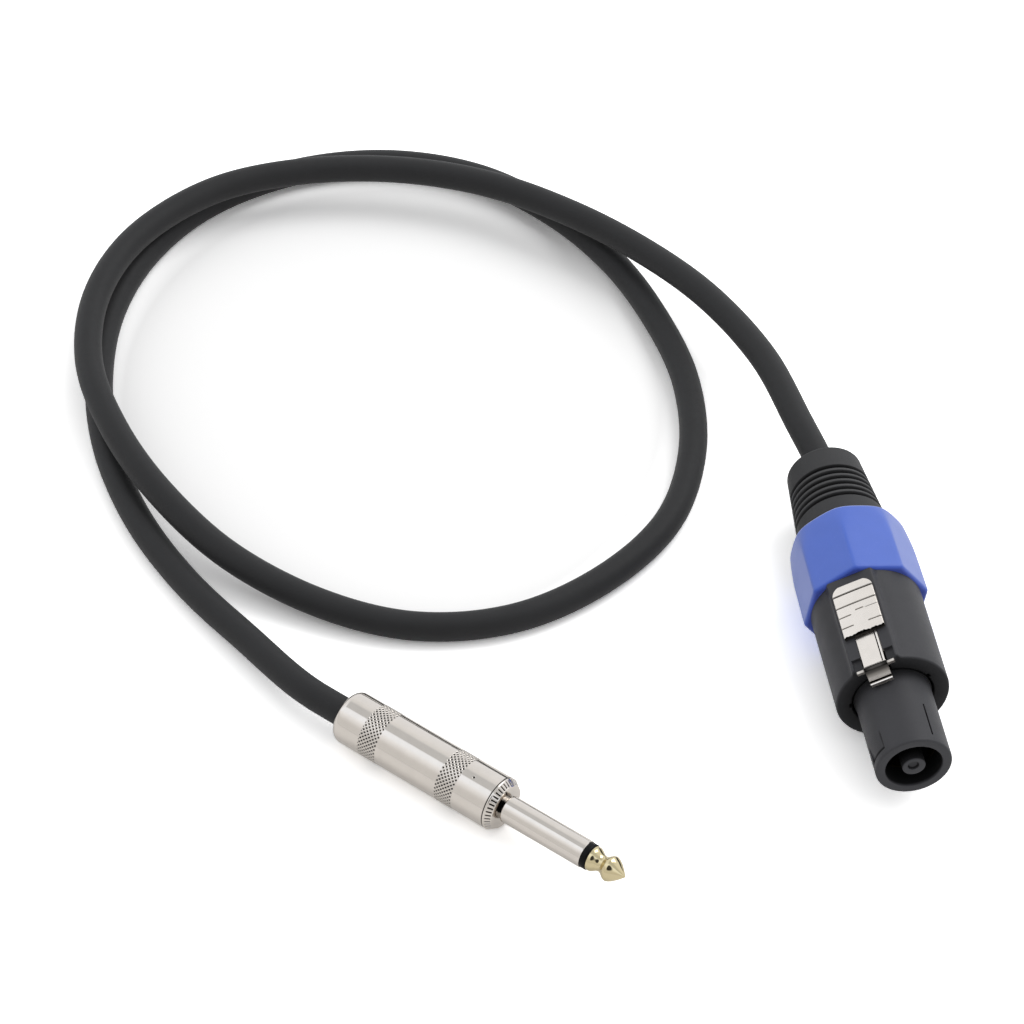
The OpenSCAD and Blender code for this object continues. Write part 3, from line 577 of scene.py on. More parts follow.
def addJacketMap(piece, path, sides, mapLength):
    # UV map of the cable: u from 1 at the top down to 0 and back, v from 0 to mapLength along the cable
    mesh = piece.data
    points = np.empty(len(mesh.vertices) * 3)
    mesh.vertices.foreach_get("co", points)
    length = np.concatenate([[0], np.cumsum(np.linalg.norm(np.diff(path, axis=0), axis=1))])
    along = np.repeat(length / length[-1] * mapLength, sides)
    around = np.tile(np.abs(np.linspace(-1, 1, sides, endpoint=False)), len(path))
    corner = np.empty(len(mesh.loops), dtype=np.int32)
    mesh.loops.foreach_get("vertex_index", corner)
    layer = mesh.uv_layers.new(name="jacket")
    layer.data.foreach_set("uv", np.stack([around[corner], along[corner]], axis=-1).ravel())


def makeCable(sizes, route):
    path = cablePath(sizes, route)
    length = np.linalg.norm(np.diff(path, axis=0), axis=1).sum()
    grid = Grid(tubeGrid(path, sizes["diameter"] / 2, sizes["sides"]), "caps")
    piece = makePiece("cable_jacket", [grid], inPlace, cableFinish, "lead", ["cable"])
    addJacketMap(piece, path, sizes["sides"], sizes["mapLength"])
    return piece, path, length


cablePiece, cableCentreline, cableLength = makeCable(cable, cableRoute)
print("cable made", round(cableLength, 2))


# Connector housing: latch's frame, across x and height over the axis

housing = {
    "seam": -26.9,  # shell's rear face, behind the nut's front
    "landTop": 12.75,
    "landHalf": 5.4,
    "shoulder": 0.55,  # rounding of the land's long edges
    "fillet": 2.0,  # from the land to the round shell
    "shell": 12.75,
    "edge": 0.5,  # rounding of the front edge
    "mouth": 9.2,  # wide front of the bore round the nose
    "mouthDepth": 3.0,
    "bore": 8.8,
    "seat": -24.5,  # step that holds the insert's flange
    "spigot": 11.3,  # threaded stub that the nut turns on
    "spigotBore": 9.6,
    "spigotEnd": -38.5,
    "threadDepth": 0.5,
    "threadPitch": 2.5,
    "notchAngle": 75.0,  # from the latch to the notch in the mouth, on both sides
    "notchHalf": 3.75,
    "notchDepth": 0.5,
    "notchLength": 1.2,
    "slotHalf": 2.8,  # of the stem's channel under its lips
    "lipHalf": 2.6,  # of the channel between its lips
    "lipBottom": 12.45,
    "channelFloor": 12.05,
    "pocketHalf": 1.4,
    "pocketFloor": 9.2,
    "barHalf": 4.8,  # of the cross bar's recess
    "recess": -3.1,  # its rear
    "channelRear": -23.5,
    "pocket": (-20.9, -10.1),  # ends of the spring's pocket
}


def landColumns(look, kind):
    # the land's top from its middle outwards: plain, with the stem's undercut channel,
    # with the spring's pocket as well, and with the wide recess of the cross bar,
    # all with as many points, since the rows are joined
    top, floor, bar = look["landTop"], look["channelFloor"], look["barHalf"]
    pocket, lip, slot = look["pocketHalf"], look["lipHalf"], look["slotHalf"]
    outer = [slot + 0.1, slot + 0.15, slot + 0.2, slot + 0.25, 3.9, bar]
    if kind == "plain":
        return [(x, top) for x in (0, pocket, pocket + 0.05, 2.5, slot, slot + 0.05, *outer, bar + 0.05)]
    if kind == "recess":
        return [(x, floor) for x in (0, pocket, pocket + 0.05, 2.5, slot, slot, *outer)] + [(bar, top)]
    bottom = look["pocketFloor"] if kind == "pocket" else floor
    under = look["lipBottom"]
    middle = [(0, bottom), (pocket, bottom), (pocket, floor), (2.5, floor), (slot, floor)]
    middle += [(slot + 0.02, floor), (slot + 0.1, floor), (slot + 0.1, under), (lip, under)]
    return middle + [(lip, top), (3.9, top), (bar, top), (bar + 0.05, top)]


def mirrored(values, sign):
    # values down one side from the top, and up the other side times sign
    return np.concatenate([values, values[-2:0:-1] * sign])


def housingColumns(look):
    # outlines of the shell's outside for each kind of row, and the angle of each column inside
    half, radius, fillet = look["landHalf"], look["shell"], look["fillet"]
    centre = half + fillet
    middle = math.sqrt((radius + fillet) ** 2 - centre**2)
    footAngle = math.degrees(math.atan2(centre, middle))
    soft = look["shoulder"]
    shoulder = arc(half - soft, look["landTop"] - soft, soft, 90, 20, 4)
    hollow = arc(centre, middle, fillet, 196, 270 - footAngle, 8)
    notch = look["notchAngle"]
    edges = [notch - look["notchHalf"], notch + look["notchHalf"]]
    angles, readAngles = split(np.linspace(footAngle, 180, 61)[1:], edges)
    angle = np.radians(angles)
    roundPart = np.stack([radius * np.sin(angle), radius * np.cos(angle)], axis=-1)
    outlines = {}
    for kind in ("plain", "channel", "pocket", "recess"):
        side = np.vstack([landColumns(look, kind), shoulder, hollow, roundPart])
        outlines[kind] = mirrored(side, (-1, 1))
    onLand = len(landColumns(look, "plain"))
    plain = outlines["plain"][: len(side)]
    # inside points face the outside's, closer together under the land
    own = np.degrees(np.arctan2(plain[:, 0], plain[:, 1]))
    inner = np.degrees(np.arcsin(np.minimum(plain[:, 0] / look["mouth"], 1)))
    inner[onLand:] = np.interp(own[onLand:], [own[onLand - 1], 60, 180], [inner[onLand - 1], 60, 180])
    inner[-len(angles):] = np.interp(angles, [own[onLand - 1], 60, 180], [inner[onLand - 1], 60, 180])
    read = np.concatenate([inner[: -len(angles)], readAngles])
    inSlot = np.arange(len(side)) < 5
    return outlines, mirrored(inner, -1), mirrored(read, 1), mirrored(inSlot, 1)


def makeHousing(look):
    outlines, inner, read, inSlot = housingColumns(look)
    direction = np.stack([np.sin(np.radians(inner)), np.cos(np.radians(inner))], axis=-1)
    inNotch = np.abs(read - look["notchAngle"]) < look["notchHalf"]
    mouthPoints = look["mouth"] * direction
    rows, tones = [], []

    def addRow(flat, station, tone):
        # the land's middle ends at the recess, so the stem's slot is open in front
        stations = np.where(inSlot, min(station, look["recess"]), station)
        rows.append(np.column_stack([flat, stations]))
        tones.append(np.broadcast_to(tone, inner.shape))

    def outside(station, kind, inset=0.0, tone=0.0):
        outer = outlines[kind]
        inward = mouthPoints - outer
        inward /= np.linalg.norm(inward, axis=1)[:, None]
        # painted shade on what lies under the land's top
        shade = {"pocket": 0.75, "recess": 0.3}.get(kind, 0.0)
        sunk = (outer[:, 1] < look["landTop"] - 0.5) & (np.abs(outer[:, 0]) < look["landHalf"] - 1)
        addRow(outer + inset * inward, station, np.maximum(tone, shade * sunk))

    def inside(station, radius, notched=False, tone=1.0):
        reach = radius + np.where(inNotch & notched, look["notchDepth"], 0.0)
        addRow(direction * reach[:, None], station, tone)

    seam, recess, edge, mouth = look["seam"], look["recess"], look["edge"], look["mouth"]
    bore, spigot, spigotBore, spigotEnd = look["bore"], look["spigot"], look["spigotBore"], look["spigotEnd"]
    pocketRear, pocketFront = look["pocket"]
    # rear edge, then the land's stretches, each with a step from one kind of row to the next
    outside(seam, "plain", 0.25)
    outside(seam + 0.25, "plain")
    for station, kinds in (
        (look["channelRear"], ("plain", "channel")), (pocketRear, ("channel", "pocket")),
        (pocketFront, ("pocket", "channel")), (recess, ("channel", "recess")),
    ):
        for kind in kinds:
            outside(station, kind)
    # painted shade grows over the front edge's rounding
    for angle in range(0, 91, 18):
        bend = math.radians(angle)
        outside(-edge + edge * math.sin(bend), "recess", edge - edge * math.cos(bend), angle / 90 * 0.6)
    # painted shade all through the mouth and the bore
    for station, radius, notched in (
        (0.0, mouth + 0.2, True), (-0.2, mouth, True), (-look["notchLength"], mouth, True),
        (-look["notchLength"], mouth, False), (-look["mouthDepth"], mouth, False),
        (-look["mouthDepth"], bore, False), (look["seat"], bore, False),
        (look["seat"], spigotBore, False), (spigotEnd + 0.4, spigotBore, False),
        (spigotEnd, spigotBore + 0.4, False), (spigotEnd, spigot - 0.7, False),
    ):
        inside(station, radius, notched, 0.85)
    # the thread fades out at both ends of the spigot, its groove gets painted shade
    end = spigotEnd + 0.3
    for station in np.arange(end, seam - 0.01, 0.25):
        crest = threadWave(np.full_like(inner, station), -inner, look["threadPitch"])
        groove = 1 - crest * smoothStep((station - end) / 0.8) * smoothStep((seam - station) / 0.8)
        inside(station, spigot - look["threadDepth"] * groove, False, 0.7 * groove)
    inside(seam, spigot - look["threadDepth"])
    grid = Grid(np.array(rows), tone=np.array(tones))
    return makePiece("housing_shell", [grid], atLatch, plasticFinish, "lead",
                     ["connector_housing"])


makeHousing(housing)


# Contact insert: angles from the latch towards -x

insert = {
    "nose": 8.5,
    "end": 20.4,
    "edge": 0.5,  # rounding of the nose's outer edge
    "guide": 8.75,  # behind the nose, in the housing's bore
    "flange": 9.5,
    "rear": -26.9,
    "seat": -24.5,
    "cavity": 7.2,  # behind, for the terminals
    "cavityFloor": -20.0,
    "opening": 6.35,
    "openingFloor": 4.0,
    "post": 2.6,
    "innerEdge": 0.25,
    "dimple": (1.3, 0.5, 0.4),  # radius, depth and rise over the axis
    "key": (27, 67, 13.4, 18.8, 0.55),  # angles, stations and depth of the bayonet recess
    "keyShade": (1.1, 1.55),  # width of the dark corner at the recess's front, at its two ends
    "rootShade": 3.5,  # length over which the nose's root gets lighter
    "slit": (307.65, 310.35, 9.4, 18.3, 0.5),  # angles, stations and depth
    "groove": (15.0, 6.8, 15.0),  # half angle, reach and front station of a contact's groove
}


def makeInsert(look):
    key, slit, groove, dimple = look["key"], look["slit"], look["groove"], look["dimple"]
    nose, end, edge, opening = look["nose"], look["end"], look["edge"], look["opening"]
    cavity, flange, guide, rear = look["cavity"], look["flange"], look["guide"], look["rear"]
    middles = [45, 135, 225, 315]  # of the contacts' grooves
    edges = [*key[:2], *slit[:2]] + [m + side * groove[0] for m in middles for side in (-1, 1)]
    # three more columns on the side of the recess with painted shade
    angles, readAngles = split([*np.arange(0, 360, 3.0), *(key[0] + np.array([0.6, 1.8, 4.4]))], edges)
    off = np.abs(readAngles % 90 - 45)
    inGroove = off < groove[0]
    grooveRadius = groove[1] / np.cos(np.radians(off))
    rows, stations, tones = [], [], []

    def addRow(radius, station, tone=0.0):
        rows.append(np.broadcast_to(radius, angles.shape))
        stations.append(station)
        tones.append(np.broadcast_to(tone, angles.shape))

    def noseRow(station, readStation):
        # the bayonet recess deepens towards its front, with painted shade along one side and in its front
        # corner; the slit has one depth and painted shade; painted shade fades along the nose's root
        def within(start, stop, back, front, _):
            return (readAngles > start) & (readAngles < stop) & (back < readStation < front)

        share = (readStation - key[2]) / (key[3] - key[2])
        sideways = (readAngles - key[0]) / (key[1] - key[0])
        width = look["keyShade"][0] + (look["keyShade"][1] - look["keyShade"][0]) * sideways
        corner = smoothStep((readStation - key[3] + width) / 0.3)
        side = 0.7 * (1 - smoothStep((readAngles - key[0] - 2.0) / 2.6)) * min(1, 4 * share)
        root = np.full_like(angles, 0.6 * (1 - smoothStep(station / look["rootShade"])))
        tone = np.where(within(*key), np.maximum(corner, side), np.where(within(*slit), 0.9, root))
        addRow(nose - key[4] * share * within(*key) - slit[4] * within(*slit), station, tone)

    # painted shade on the guide's ring between the housing's mouth and the nose
    for radius, station, tone in (
        (0.0, look["cavityFloor"], 0), (cavity, look["cavityFloor"], 0), (cavity, rear, 0),
        (flange - 0.2, rear, 0), (flange, rear + 0.2, 0), (flange, look["seat"], 0),
        (guide, look["seat"], 0), (guide, -0.5, 0.8), (guide, -0.15, 0.9), (guide - 0.15, 0.0, 0.9),
    ):
        addRow(radius, station, tone)
    # rows close together at the root and at the recess's front, where the tone changes
    noseMarks = [0.0, 0.6, 1.2, 1.8, 2.4, 3.0, 3.6, 8.0, 14.0, 14.6, 15.4, 16.4]
    noseMarks += [*np.arange(16.9, 18.75, 0.15), end - edge]
    noseStations, noseReads = split(noseMarks, [*key[2:4], *slit[2:4]])
    for station, readStation in zip(noseStations, noseReads):
        noseRow(station, readStation)
    for radius, station in arc(nose - edge, end - edge, edge, 18, 90, 5):
        addRow(radius, station)
    small = look["innerEdge"]
    for radius, station in arc(opening + small, end - small, small, 90, 180, 4):
        addRow(radius, station)
    # painted shade inside the opening
    post, floor, widened = look["post"], look["openingFloor"], np.where(inGroove, grooveRadius, opening)
    addRow(opening, end - 0.8, 0.9)
    for radius, station in (
        (opening, groove[2]), (widened, groove[2]), (widened, floor), (post, floor), (post, end - 2.5),
    ):
        addRow(radius, station, 1.0)
    # painted shade fades over the post's rounded edge
    for radius, station in arc(post - small, end - small, small, 0, 90, 4):
        addRow(radius, station, 0.7 * (1 - (station - end + small) / small))
    rim = len(rows)
    reach, depth, rise = dimple
    # painted shade in the ring round the dimple's floor
    for radius, station, tone in (
        (reach, end, 0.0), (reach - 0.15, end - depth, 1.0), (reach - 0.45, end - depth, 0.2),
        (0.0, end - depth, 0.2),
    ):
        addRow(radius, station, tone)
    points = turn(np.array(rows), np.array(stations), angles)
    points[rim:, :, 1] += rise
    grid = Grid(points, "poles", np.array(tones))
    return makePiece("keyed_insert", [grid], atLatch, plasticFinish, "lead",
                     ["contact_insert"])


makeInsert(insert)


# Latch: latch's frame

latch = {
    "padHalf": 4.7,
    "padFront": -8.8,
    "padRear": -23.6,
    "padTop": 13.95,
    "padBottom": 12.85,
    "padEdge": 0.25,
    "cornerRadius": 2.4,
    "crown": 0.1,  # height of the pad's middle over its sides
    "grooveDepth": 0.3,
    # fine grooves: middle across, half length, distance behind the front edge, half width, depth as a share
    "grooves": [
        (0.0, 4.8, 12.3, 0.25, 1.0), (0.0, 4.8, 8.8, 0.18, 0.9),
        (-3.3, 1.5, 5.9, 0.14, 0.9), (-3.3, 1.35, 2.8, 0.14, 0.9),
        (3.2, 1.5, 2.6, 0.14, 0.9), (3.3, 1.5, 6.55, 0.1, 0.4), (0.4, 0.85, 6.75, 0.15, 0.75),
    ],
    "plateTop": 12.85,
    "plateBottom": 12.1,
    "stemHalf": 2.45,
    "stemRear": -20.4,
    "stemFront": 0.2,
    "stemRidge": (1.75, 0.12, 0.04),  # groove's left edge across the stem, its depth and the ridge's height
    "lipHalf": 2.8,
    "lipTop": 12.4,
    "lipFront": -2.9,
    "bar": (0.5, 1.15),  # ends of the cross bar
    "barHalf": 4.4,
    "tongue": (-11.2, -10.2, 9.4, 1.2),  # stations, bottom and half width of what the spring pushes
    "padStep": 0.06,  # between rows
    "padColumns": 121,
    "hookHalf": 2.55,
}
hookOutline = [  # station, height and tone: painted shade where above 0, painted highlight where below 0
    (0.0, 12.85, 0.2), (0.35, 12.85, 1.0), (1.0, 12.75, 0.95), (1.4, 12.0, 0.85), (1.7, 11.3, 0.55),
    (1.9, 11.1, 0.3), (2.4, 10.8, -0.2), (2.5, 10.7, 0.2), (2.55, 10.6, 1.0), (2.68, 10.15, 1.0),
    (2.75, 10.0, 0.0), (3.0, 9.9, -0.3), (3.05, 9.1, 0.7), (2.3, 9.1, 1.0), (2.0, 9.95, 1.0),
    (0.9, 10.55, 1.0), (0.0, 12.1, 1.0),
]


def makePad(look):
    # thumb pad: rows along the axis, close together at the round rear corners and the front edge,
    # columns over the top and back under the bottom
    front, rear, corner = look["padFront"], look["padRear"], look["cornerRadius"]
    step, bend = look["padStep"], 0.3
    near = rear + 0.02 + np.linspace(0, corner, 24) ** 1.5 / corner**0.5
    stations = np.concatenate([
        near, np.arange(rear + corner + step, front - bend, step),
        front - bend + bend * np.sin(np.linspace(0, np.pi / 2, 7)),
    ])
    past = np.clip(corner - (stations - rear), 0, corner)
    half = look["padHalf"] - corner + np.sqrt(corner**2 - past**2)
    # columns a little closer together at the sides
    even = np.linspace(-1, 1, look["padColumns"])
    share = 0.55 * np.sin(even * np.pi / 2) + 0.45 * even
    x = half[:, None] * share[None, :]
    s = np.broadcast_to(stations[:, None], x.shape)
    # ragged sheared front edge
    notch = 0.3 * smoothStep((0.9 - np.abs(x + 0.6)) / 0.3)
    ragged = 0.09 * np.sin(x * 2.9 + 0.4) + 0.07 * np.sin(x * 7.3) + notch
    s = s - (ragged + 0.12) * smoothStep((s - front + 2.0) / 2.0)
    side = half[:, None] - np.abs(x)
    ends = np.minimum(s - rear, front - stations[:, None])
    edge = look["padEdge"]
    gone = np.clip(1 - np.clip(np.minimum(side, ends), 0, edge) / edge, 0, 1)
    top = look["padTop"] - edge * (1 - np.sqrt(1 - gone**2))
    top -= look["crown"] * (x / look["padHalf"]) ** 2
    groove = np.zeros_like(x)
    for middle, reach, back, width, depth in look["grooves"]:
        inLine = 1 - smoothStep((np.abs(s - (front - back)) - width * 0.5) / (width * 0.7))
        inReach = 1 - smoothStep((np.abs(x - middle) - reach) / 0.15)
        groove = np.maximum(groove, depth * inLine * inReach)
    top -= look["grooveDepth"] * groove
    upper = np.stack([x, top, s], axis=-1)
    lower = np.stack([x[:, ::-12], np.full_like(x[:, ::-12], look["padBottom"]), s[:, ::-12]], axis=-1)
    # painted shade in the grooves, on the sheared front face and on the pad's underside
    sheared = (stations > front - 0.1)[:, None]
    tone = np.concatenate([np.maximum(groove, sheared), np.full(lower.shape[:2], 0.9)], axis=1)
    return Grid(np.concatenate([upper, lower], axis=1), "caps", tone)


def barGrid(outlinePoints, stops, tone=0.0):
    # outline of (station, height) drawn out across x through the stops
    outlinePoints = np.array(outlinePoints, dtype=float)
    rows = [np.column_stack([np.full(len(outlinePoints), x), outlinePoints[:, 1], outlinePoints[:, 0]])
            for x in stops]
    return Grid(np.array(rows), "caps", tone)


def boxOutline(back, front, low, high):
    # of a bar between two stations and two heights
    return [(back, high), (front, high), (front, low), (back, low)]


def makeLatch(look):
    low, high = look["plateBottom"], look["plateTop"]
    half, lip = look["stemHalf"], look["lipHalf"]
    # the stem's top has a narrow ridge along its right side, with a fine groove beside it
    left, depth, rise = look["stemRidge"]
    section = [
        (-half, low), (-half, high), (left, high), (left + 0.05, high - depth), (left + 0.23, high - depth),
        (left + 0.28, high + rise), (half, high + rise), (half, low),
    ]
    # painted shade in the fine groove and on the stem's lower edge, a painted highlight on the ridge
    stemTone = [0.0, 0.0, 0.0, 1.0, 1.0, -0.3, 0.0, 0.6]
    stemStations = (look["stemRear"], -8.0, -4.0, look["stemFront"])
    stem = [[(x, h, s) for x, h in section] for s in stemStations]
    # painted shade on the bar where it meets the stem's edges and at its ends
    bar = look["barHalf"]
    barStops = np.array([-bar, -bar + 0.2, -2.9, -2.6, -1.0, 1.0, 2.6, 2.9, bar - 0.2, bar])
    barTone = np.array([0.9, 0.1, 0.35, 1.0, 0.9, 0.9, 1.0, 0.35, 0.1, 0.9])[:, None]
    hookStops = np.linspace(-look["hookHalf"], look["hookHalf"], 9)
    hookTone = np.array([tone for _, _, tone in hookOutline])[None, :]
    tongueRear, tongueFront, tongueLow, tongueHalf = look["tongue"]
    grids = [
        makePad(look),
        Grid(np.array(stem, dtype=float), "caps", np.array(stemTone)[None, :]),
        # painted shade on the part of the stem down in the channel
        barGrid(boxOutline(look["stemRear"], look["lipFront"], low, look["lipTop"]), (-lip, lip), 0.6),
        barGrid(boxOutline(*look["bar"], low, high - 0.02), barStops, barTone),
        barGrid(boxOutline(tongueRear, tongueFront, tongueLow, low), (-tongueHalf, tongueHalf)),
        barGrid([corner[:2] for corner in hookOutline], hookStops, hookTone),
    ]
    return makePiece("sliding_latch", grids, atLatch, latchFinish, "latch", ["latch_slide"],
                     bevel=0.07)


makeLatch(latch)


# Ring nut: angles from the top, corners at the roll and at every flat's width from there

nut = {
    "front": -26.7,
    "end": -46.9,
    "flats": 8,
    "corner": 14.5,  # radius over the corners
    "roll": 14.0,  # angle of a corner
    "taper": 0.7,  # of the flats, in degrees
    "rimDrop": 1.1,  # from the corners to the round rear rim
    "fade": 11.0,  # length in which the corners run out
    "cornerRounding": 1.0,
    "frontRounding": 0.9,
    "rimRounding": 0.45,
    "thread": 11.35,  # radius over its crests
    "threadDepth": 0.4,
    "threadPitch": 2.5,
    "chamber": 11.9,  # for the boot's flange
    "chamberEnds": (-45.9, -38.8),
    "lip": 11.2,
}


def nutOutside(look, stations, angles):
    # distance of the rounded octagon from the axis, cut by a cone towards the round rear rim
    half = 180 / look["flats"]
    middle = np.abs((angles - look["roll"]) % (2 * half) - half)[None, :]
    flat = look["corner"] * math.cos(math.radians(half))
    flat = flat - (look["front"] - stations[:, None]) * math.tan(math.radians(look["taper"]))
    soft = look["cornerRounding"]
    centre = (flat - soft) / math.cos(math.radians(half))
    toCorner = np.radians(half - middle)
    onFlat = flat / np.cos(np.radians(middle))
    inArc = soft**2 - (centre * np.sin(toCorner)) ** 2
    onArc = centre * np.cos(toCorner) + np.sqrt(np.clip(inArc, 0, None))
    tangent = np.degrees(np.arctan2(centre * math.sin(math.radians(half)), flat))
    octagon = np.where(middle > tangent, onArc, onFlat)
    fall = np.clip((look["end"] + look["fade"] - stations[:, None]) / look["fade"], 0, 1)
    cone = look["corner"] - look["rimDrop"] * fall**1.6
    # the lower of the two, blended where they meet
    blend = 0.08 + 0.22 * fall
    lower = (cone + octagon) / 2 - np.sqrt(((cone - octagon) / 2) ** 2 + blend**2)
    return lower + blend * 0.6


def makeNut(look):
    front, end, soft, rim = look["front"], look["end"], look["frontRounding"], look["rimRounding"]
    angles = np.arange(0, 360, 1.25)
    bend = np.radians([90, 75, 60, 45, 30, 15, 0])
    stations = np.concatenate([
        front - soft * (1 - np.sin(bend)), np.linspace(front - soft - 0.5, end + rim, 26),
        end + rim * (1 - np.sin(bend[-2::-1])),
    ])
    drop = np.zeros_like(stations)
    drop[:7] = soft * (1 - np.cos(bend))
    drop[-6:] = rim * (1 - np.cos(bend[-2::-1]))
    # painted shade on the front's rounding and inside, a painted highlight on the rear rim
    tone = np.zeros_like(stations)
    tone[:7] = np.linspace(1, 0.1, 7)
    tone[-6:-2] = -0.7
    # internal thread: its crest keeps the bore, its groove reaches outwards
    lip, chamber, bore = look["lip"], look["chamber"], look["thread"]
    chamberRear, chamberFront = look["chamberEnds"]
    threadStations = np.arange(chamberFront + 0.2, front - 0.3, 0.25)
    wave = threadWave(threadStations[:, None], angles[None, :], look["threadPitch"])
    fade = smoothStep(threadStations - chamberFront - 0.2)[:, None]
    parts = [
        (nutOutside(look, stations, angles) - drop[:, None], stations, tone),
        rings([(lip + 0.3, end), (lip, end + 0.3), (lip, chamberRear), (chamber, chamberRear),
               (chamber, chamberFront), (bore, chamberFront)], 0.8),
        (bore + look["threadDepth"] * wave * fade, threadStations, 0.8),
        rings([(bore + 0.1, front - 0.25), (bore + 0.35, front)], 0.8),
    ]
    return makePiece("ring_nut", [turnedGrid(parts, angles)], atConnector, blueFinish, "nut",
                     ["clamp_nut"])


makeNut(nut)


# Strain relief boot

boot = {
    "front": -46.9,
    "end": -70.8,
    "frontRadius": 11.05,
    "endRadius": 8.75,
    "endRounding": 0.9,
    "lean": (0.1, 0.4),  # to the left, at the nut and at the end
    "firstGroove": -63.4,  # middle of the rearmost groove
    "groovePitch": 1.95,
    "grooves": 6,
    "grooveHalf": 0.58,
    "grooveDepth": 0.75,
    "ribCrown": 0.15,
    "bore": 3.7,
    "mouth": 4.7,
    "mouthLength": 10.0,
    "cone": ((6.25, -45.6), (9.0, -39.2)),  # for the chuck's jaws: radius and station of its ends
    "flange": 11.75,
    "flangeRear": -45.8,
}


def makeBoot(look):
    # skirt radius falls evenly, each groove is a soft slot and the ribs between them are crowned
    front, end, rounding = look["front"], look["end"], look["endRounding"]
    grooves, pitch = look["grooves"], look["groovePitch"]
    angles = np.arange(0, 360, 2.5)
    stations = np.arange(end + rounding, front, 0.06)
    slope = (look["frontRadius"] - look["endRadius"]) / (front - end)
    skirt = look["endRadius"] + (stations - end) * slope
    ahead = stations - look["firstGroove"]
    nearest = np.clip(np.round(ahead / pitch), 0, grooves - 1)
    away = np.abs(ahead - nearest * pitch)
    slot = 1 - smoothStep((away - look["grooveHalf"] + 0.22) / 0.3)
    onRib = (ahead > 0) & (ahead < pitch * (grooves - 1))
    crown = look["ribCrown"] * (1 - (away / pitch * 2)) ** 2 * onRib
    outside = skirt - look["grooveDepth"] * slot - crown * (1 - slot)
    flare = np.linspace(0, 1, 8)[:, None]
    bore, mouth = look["bore"], look["mouth"]
    inMouth = np.hstack([bore + (mouth - bore) * flare**2, end + look["mouthLength"] * (1 - flare)])
    jawRear, jawFront = look["cone"]
    flange, flangeRear = look["flange"], look["flangeRear"]
    # painted shade in the grooves and inside, a painted highlight on the ribs' crowns
    parts = [
        rings([(mouth + 0.3, end)]),
        rings(arc(look["endRadius"] + rounding * slope - rounding, end + rounding, rounding, -90, -6, 7)),
        (outside, stations, slot - (1 - slot) * away / pitch * 2 * onRib),
        rings([(look["frontRadius"], front)]),
        rings([(look["frontRadius"], flangeRear), (flange, flangeRear), (flange, jawFront[1]), jawFront,
               jawRear, (bore, jawRear[1]), *inMouth], 0.8),
    ]
    grid = turnedGrid(parts, angles)
    share = np.clip((front - grid.points[..., 2]) / (front - end), 0, 1)
    lean, endLean = look["lean"]
    grid.points[..., 0] -= (lean + (endLean - lean) * share) * (share > 0)
    return makePiece("grooved_boot", [grid], atConnector, rubberFinish, "boot",
                     ["strain_relief_boot"])


makeBoot(boot)


# Jack barrel: stations from the seam towards the tip

barrel = {
    "radius": 6.25,
    "front": -0.1,
    "end": -42.4,
    "rearRounding": 2.0,
    "bore": 5.15,
    "hole": 3.75,  # that the cable leaves through
    "floor": -40.4,
    "bands": [(-34.6, -29.7), (-13.2, -8.4)],
    "punch": (-5.6, 14.0, 0.28, 0.2),  # station, angle, radius and depth of a small punch mark
    "pitsRound": 38,
    "columnsPerPit": 12,
    "pitDepth": 0.26,
    "ridge": 0.27,  # width as a share of the pitch
    "threadDepth": 0.3,
    "threadPitch": 1.0,
    "threadEnd": -8.4,
}


def knurl(look, stations, angles):
    # share of the depth: square pits between two sets of ridges at 45 degrees, faded at the band's edges
    a = angles[None, :] / 360 * look["pitsRound"]
    b = stations[:, None] / (2 * np.pi * look["radius"] / look["pitsRound"])
    first, second = a + b, a - b
    away = 2 * np.minimum(np.abs(first - np.round(first)), np.abs(second - np.round(second)))
    pit = np.clip((away - look["ridge"]) / (1 - look["ridge"]), 0, 1)
    mask = np.zeros_like(stations)
    for back, front in look["bands"]:
        mask = np.maximum(mask, smoothStep(np.minimum(stations - back, front - stations) / 0.12))
    return pit * mask[:, None]


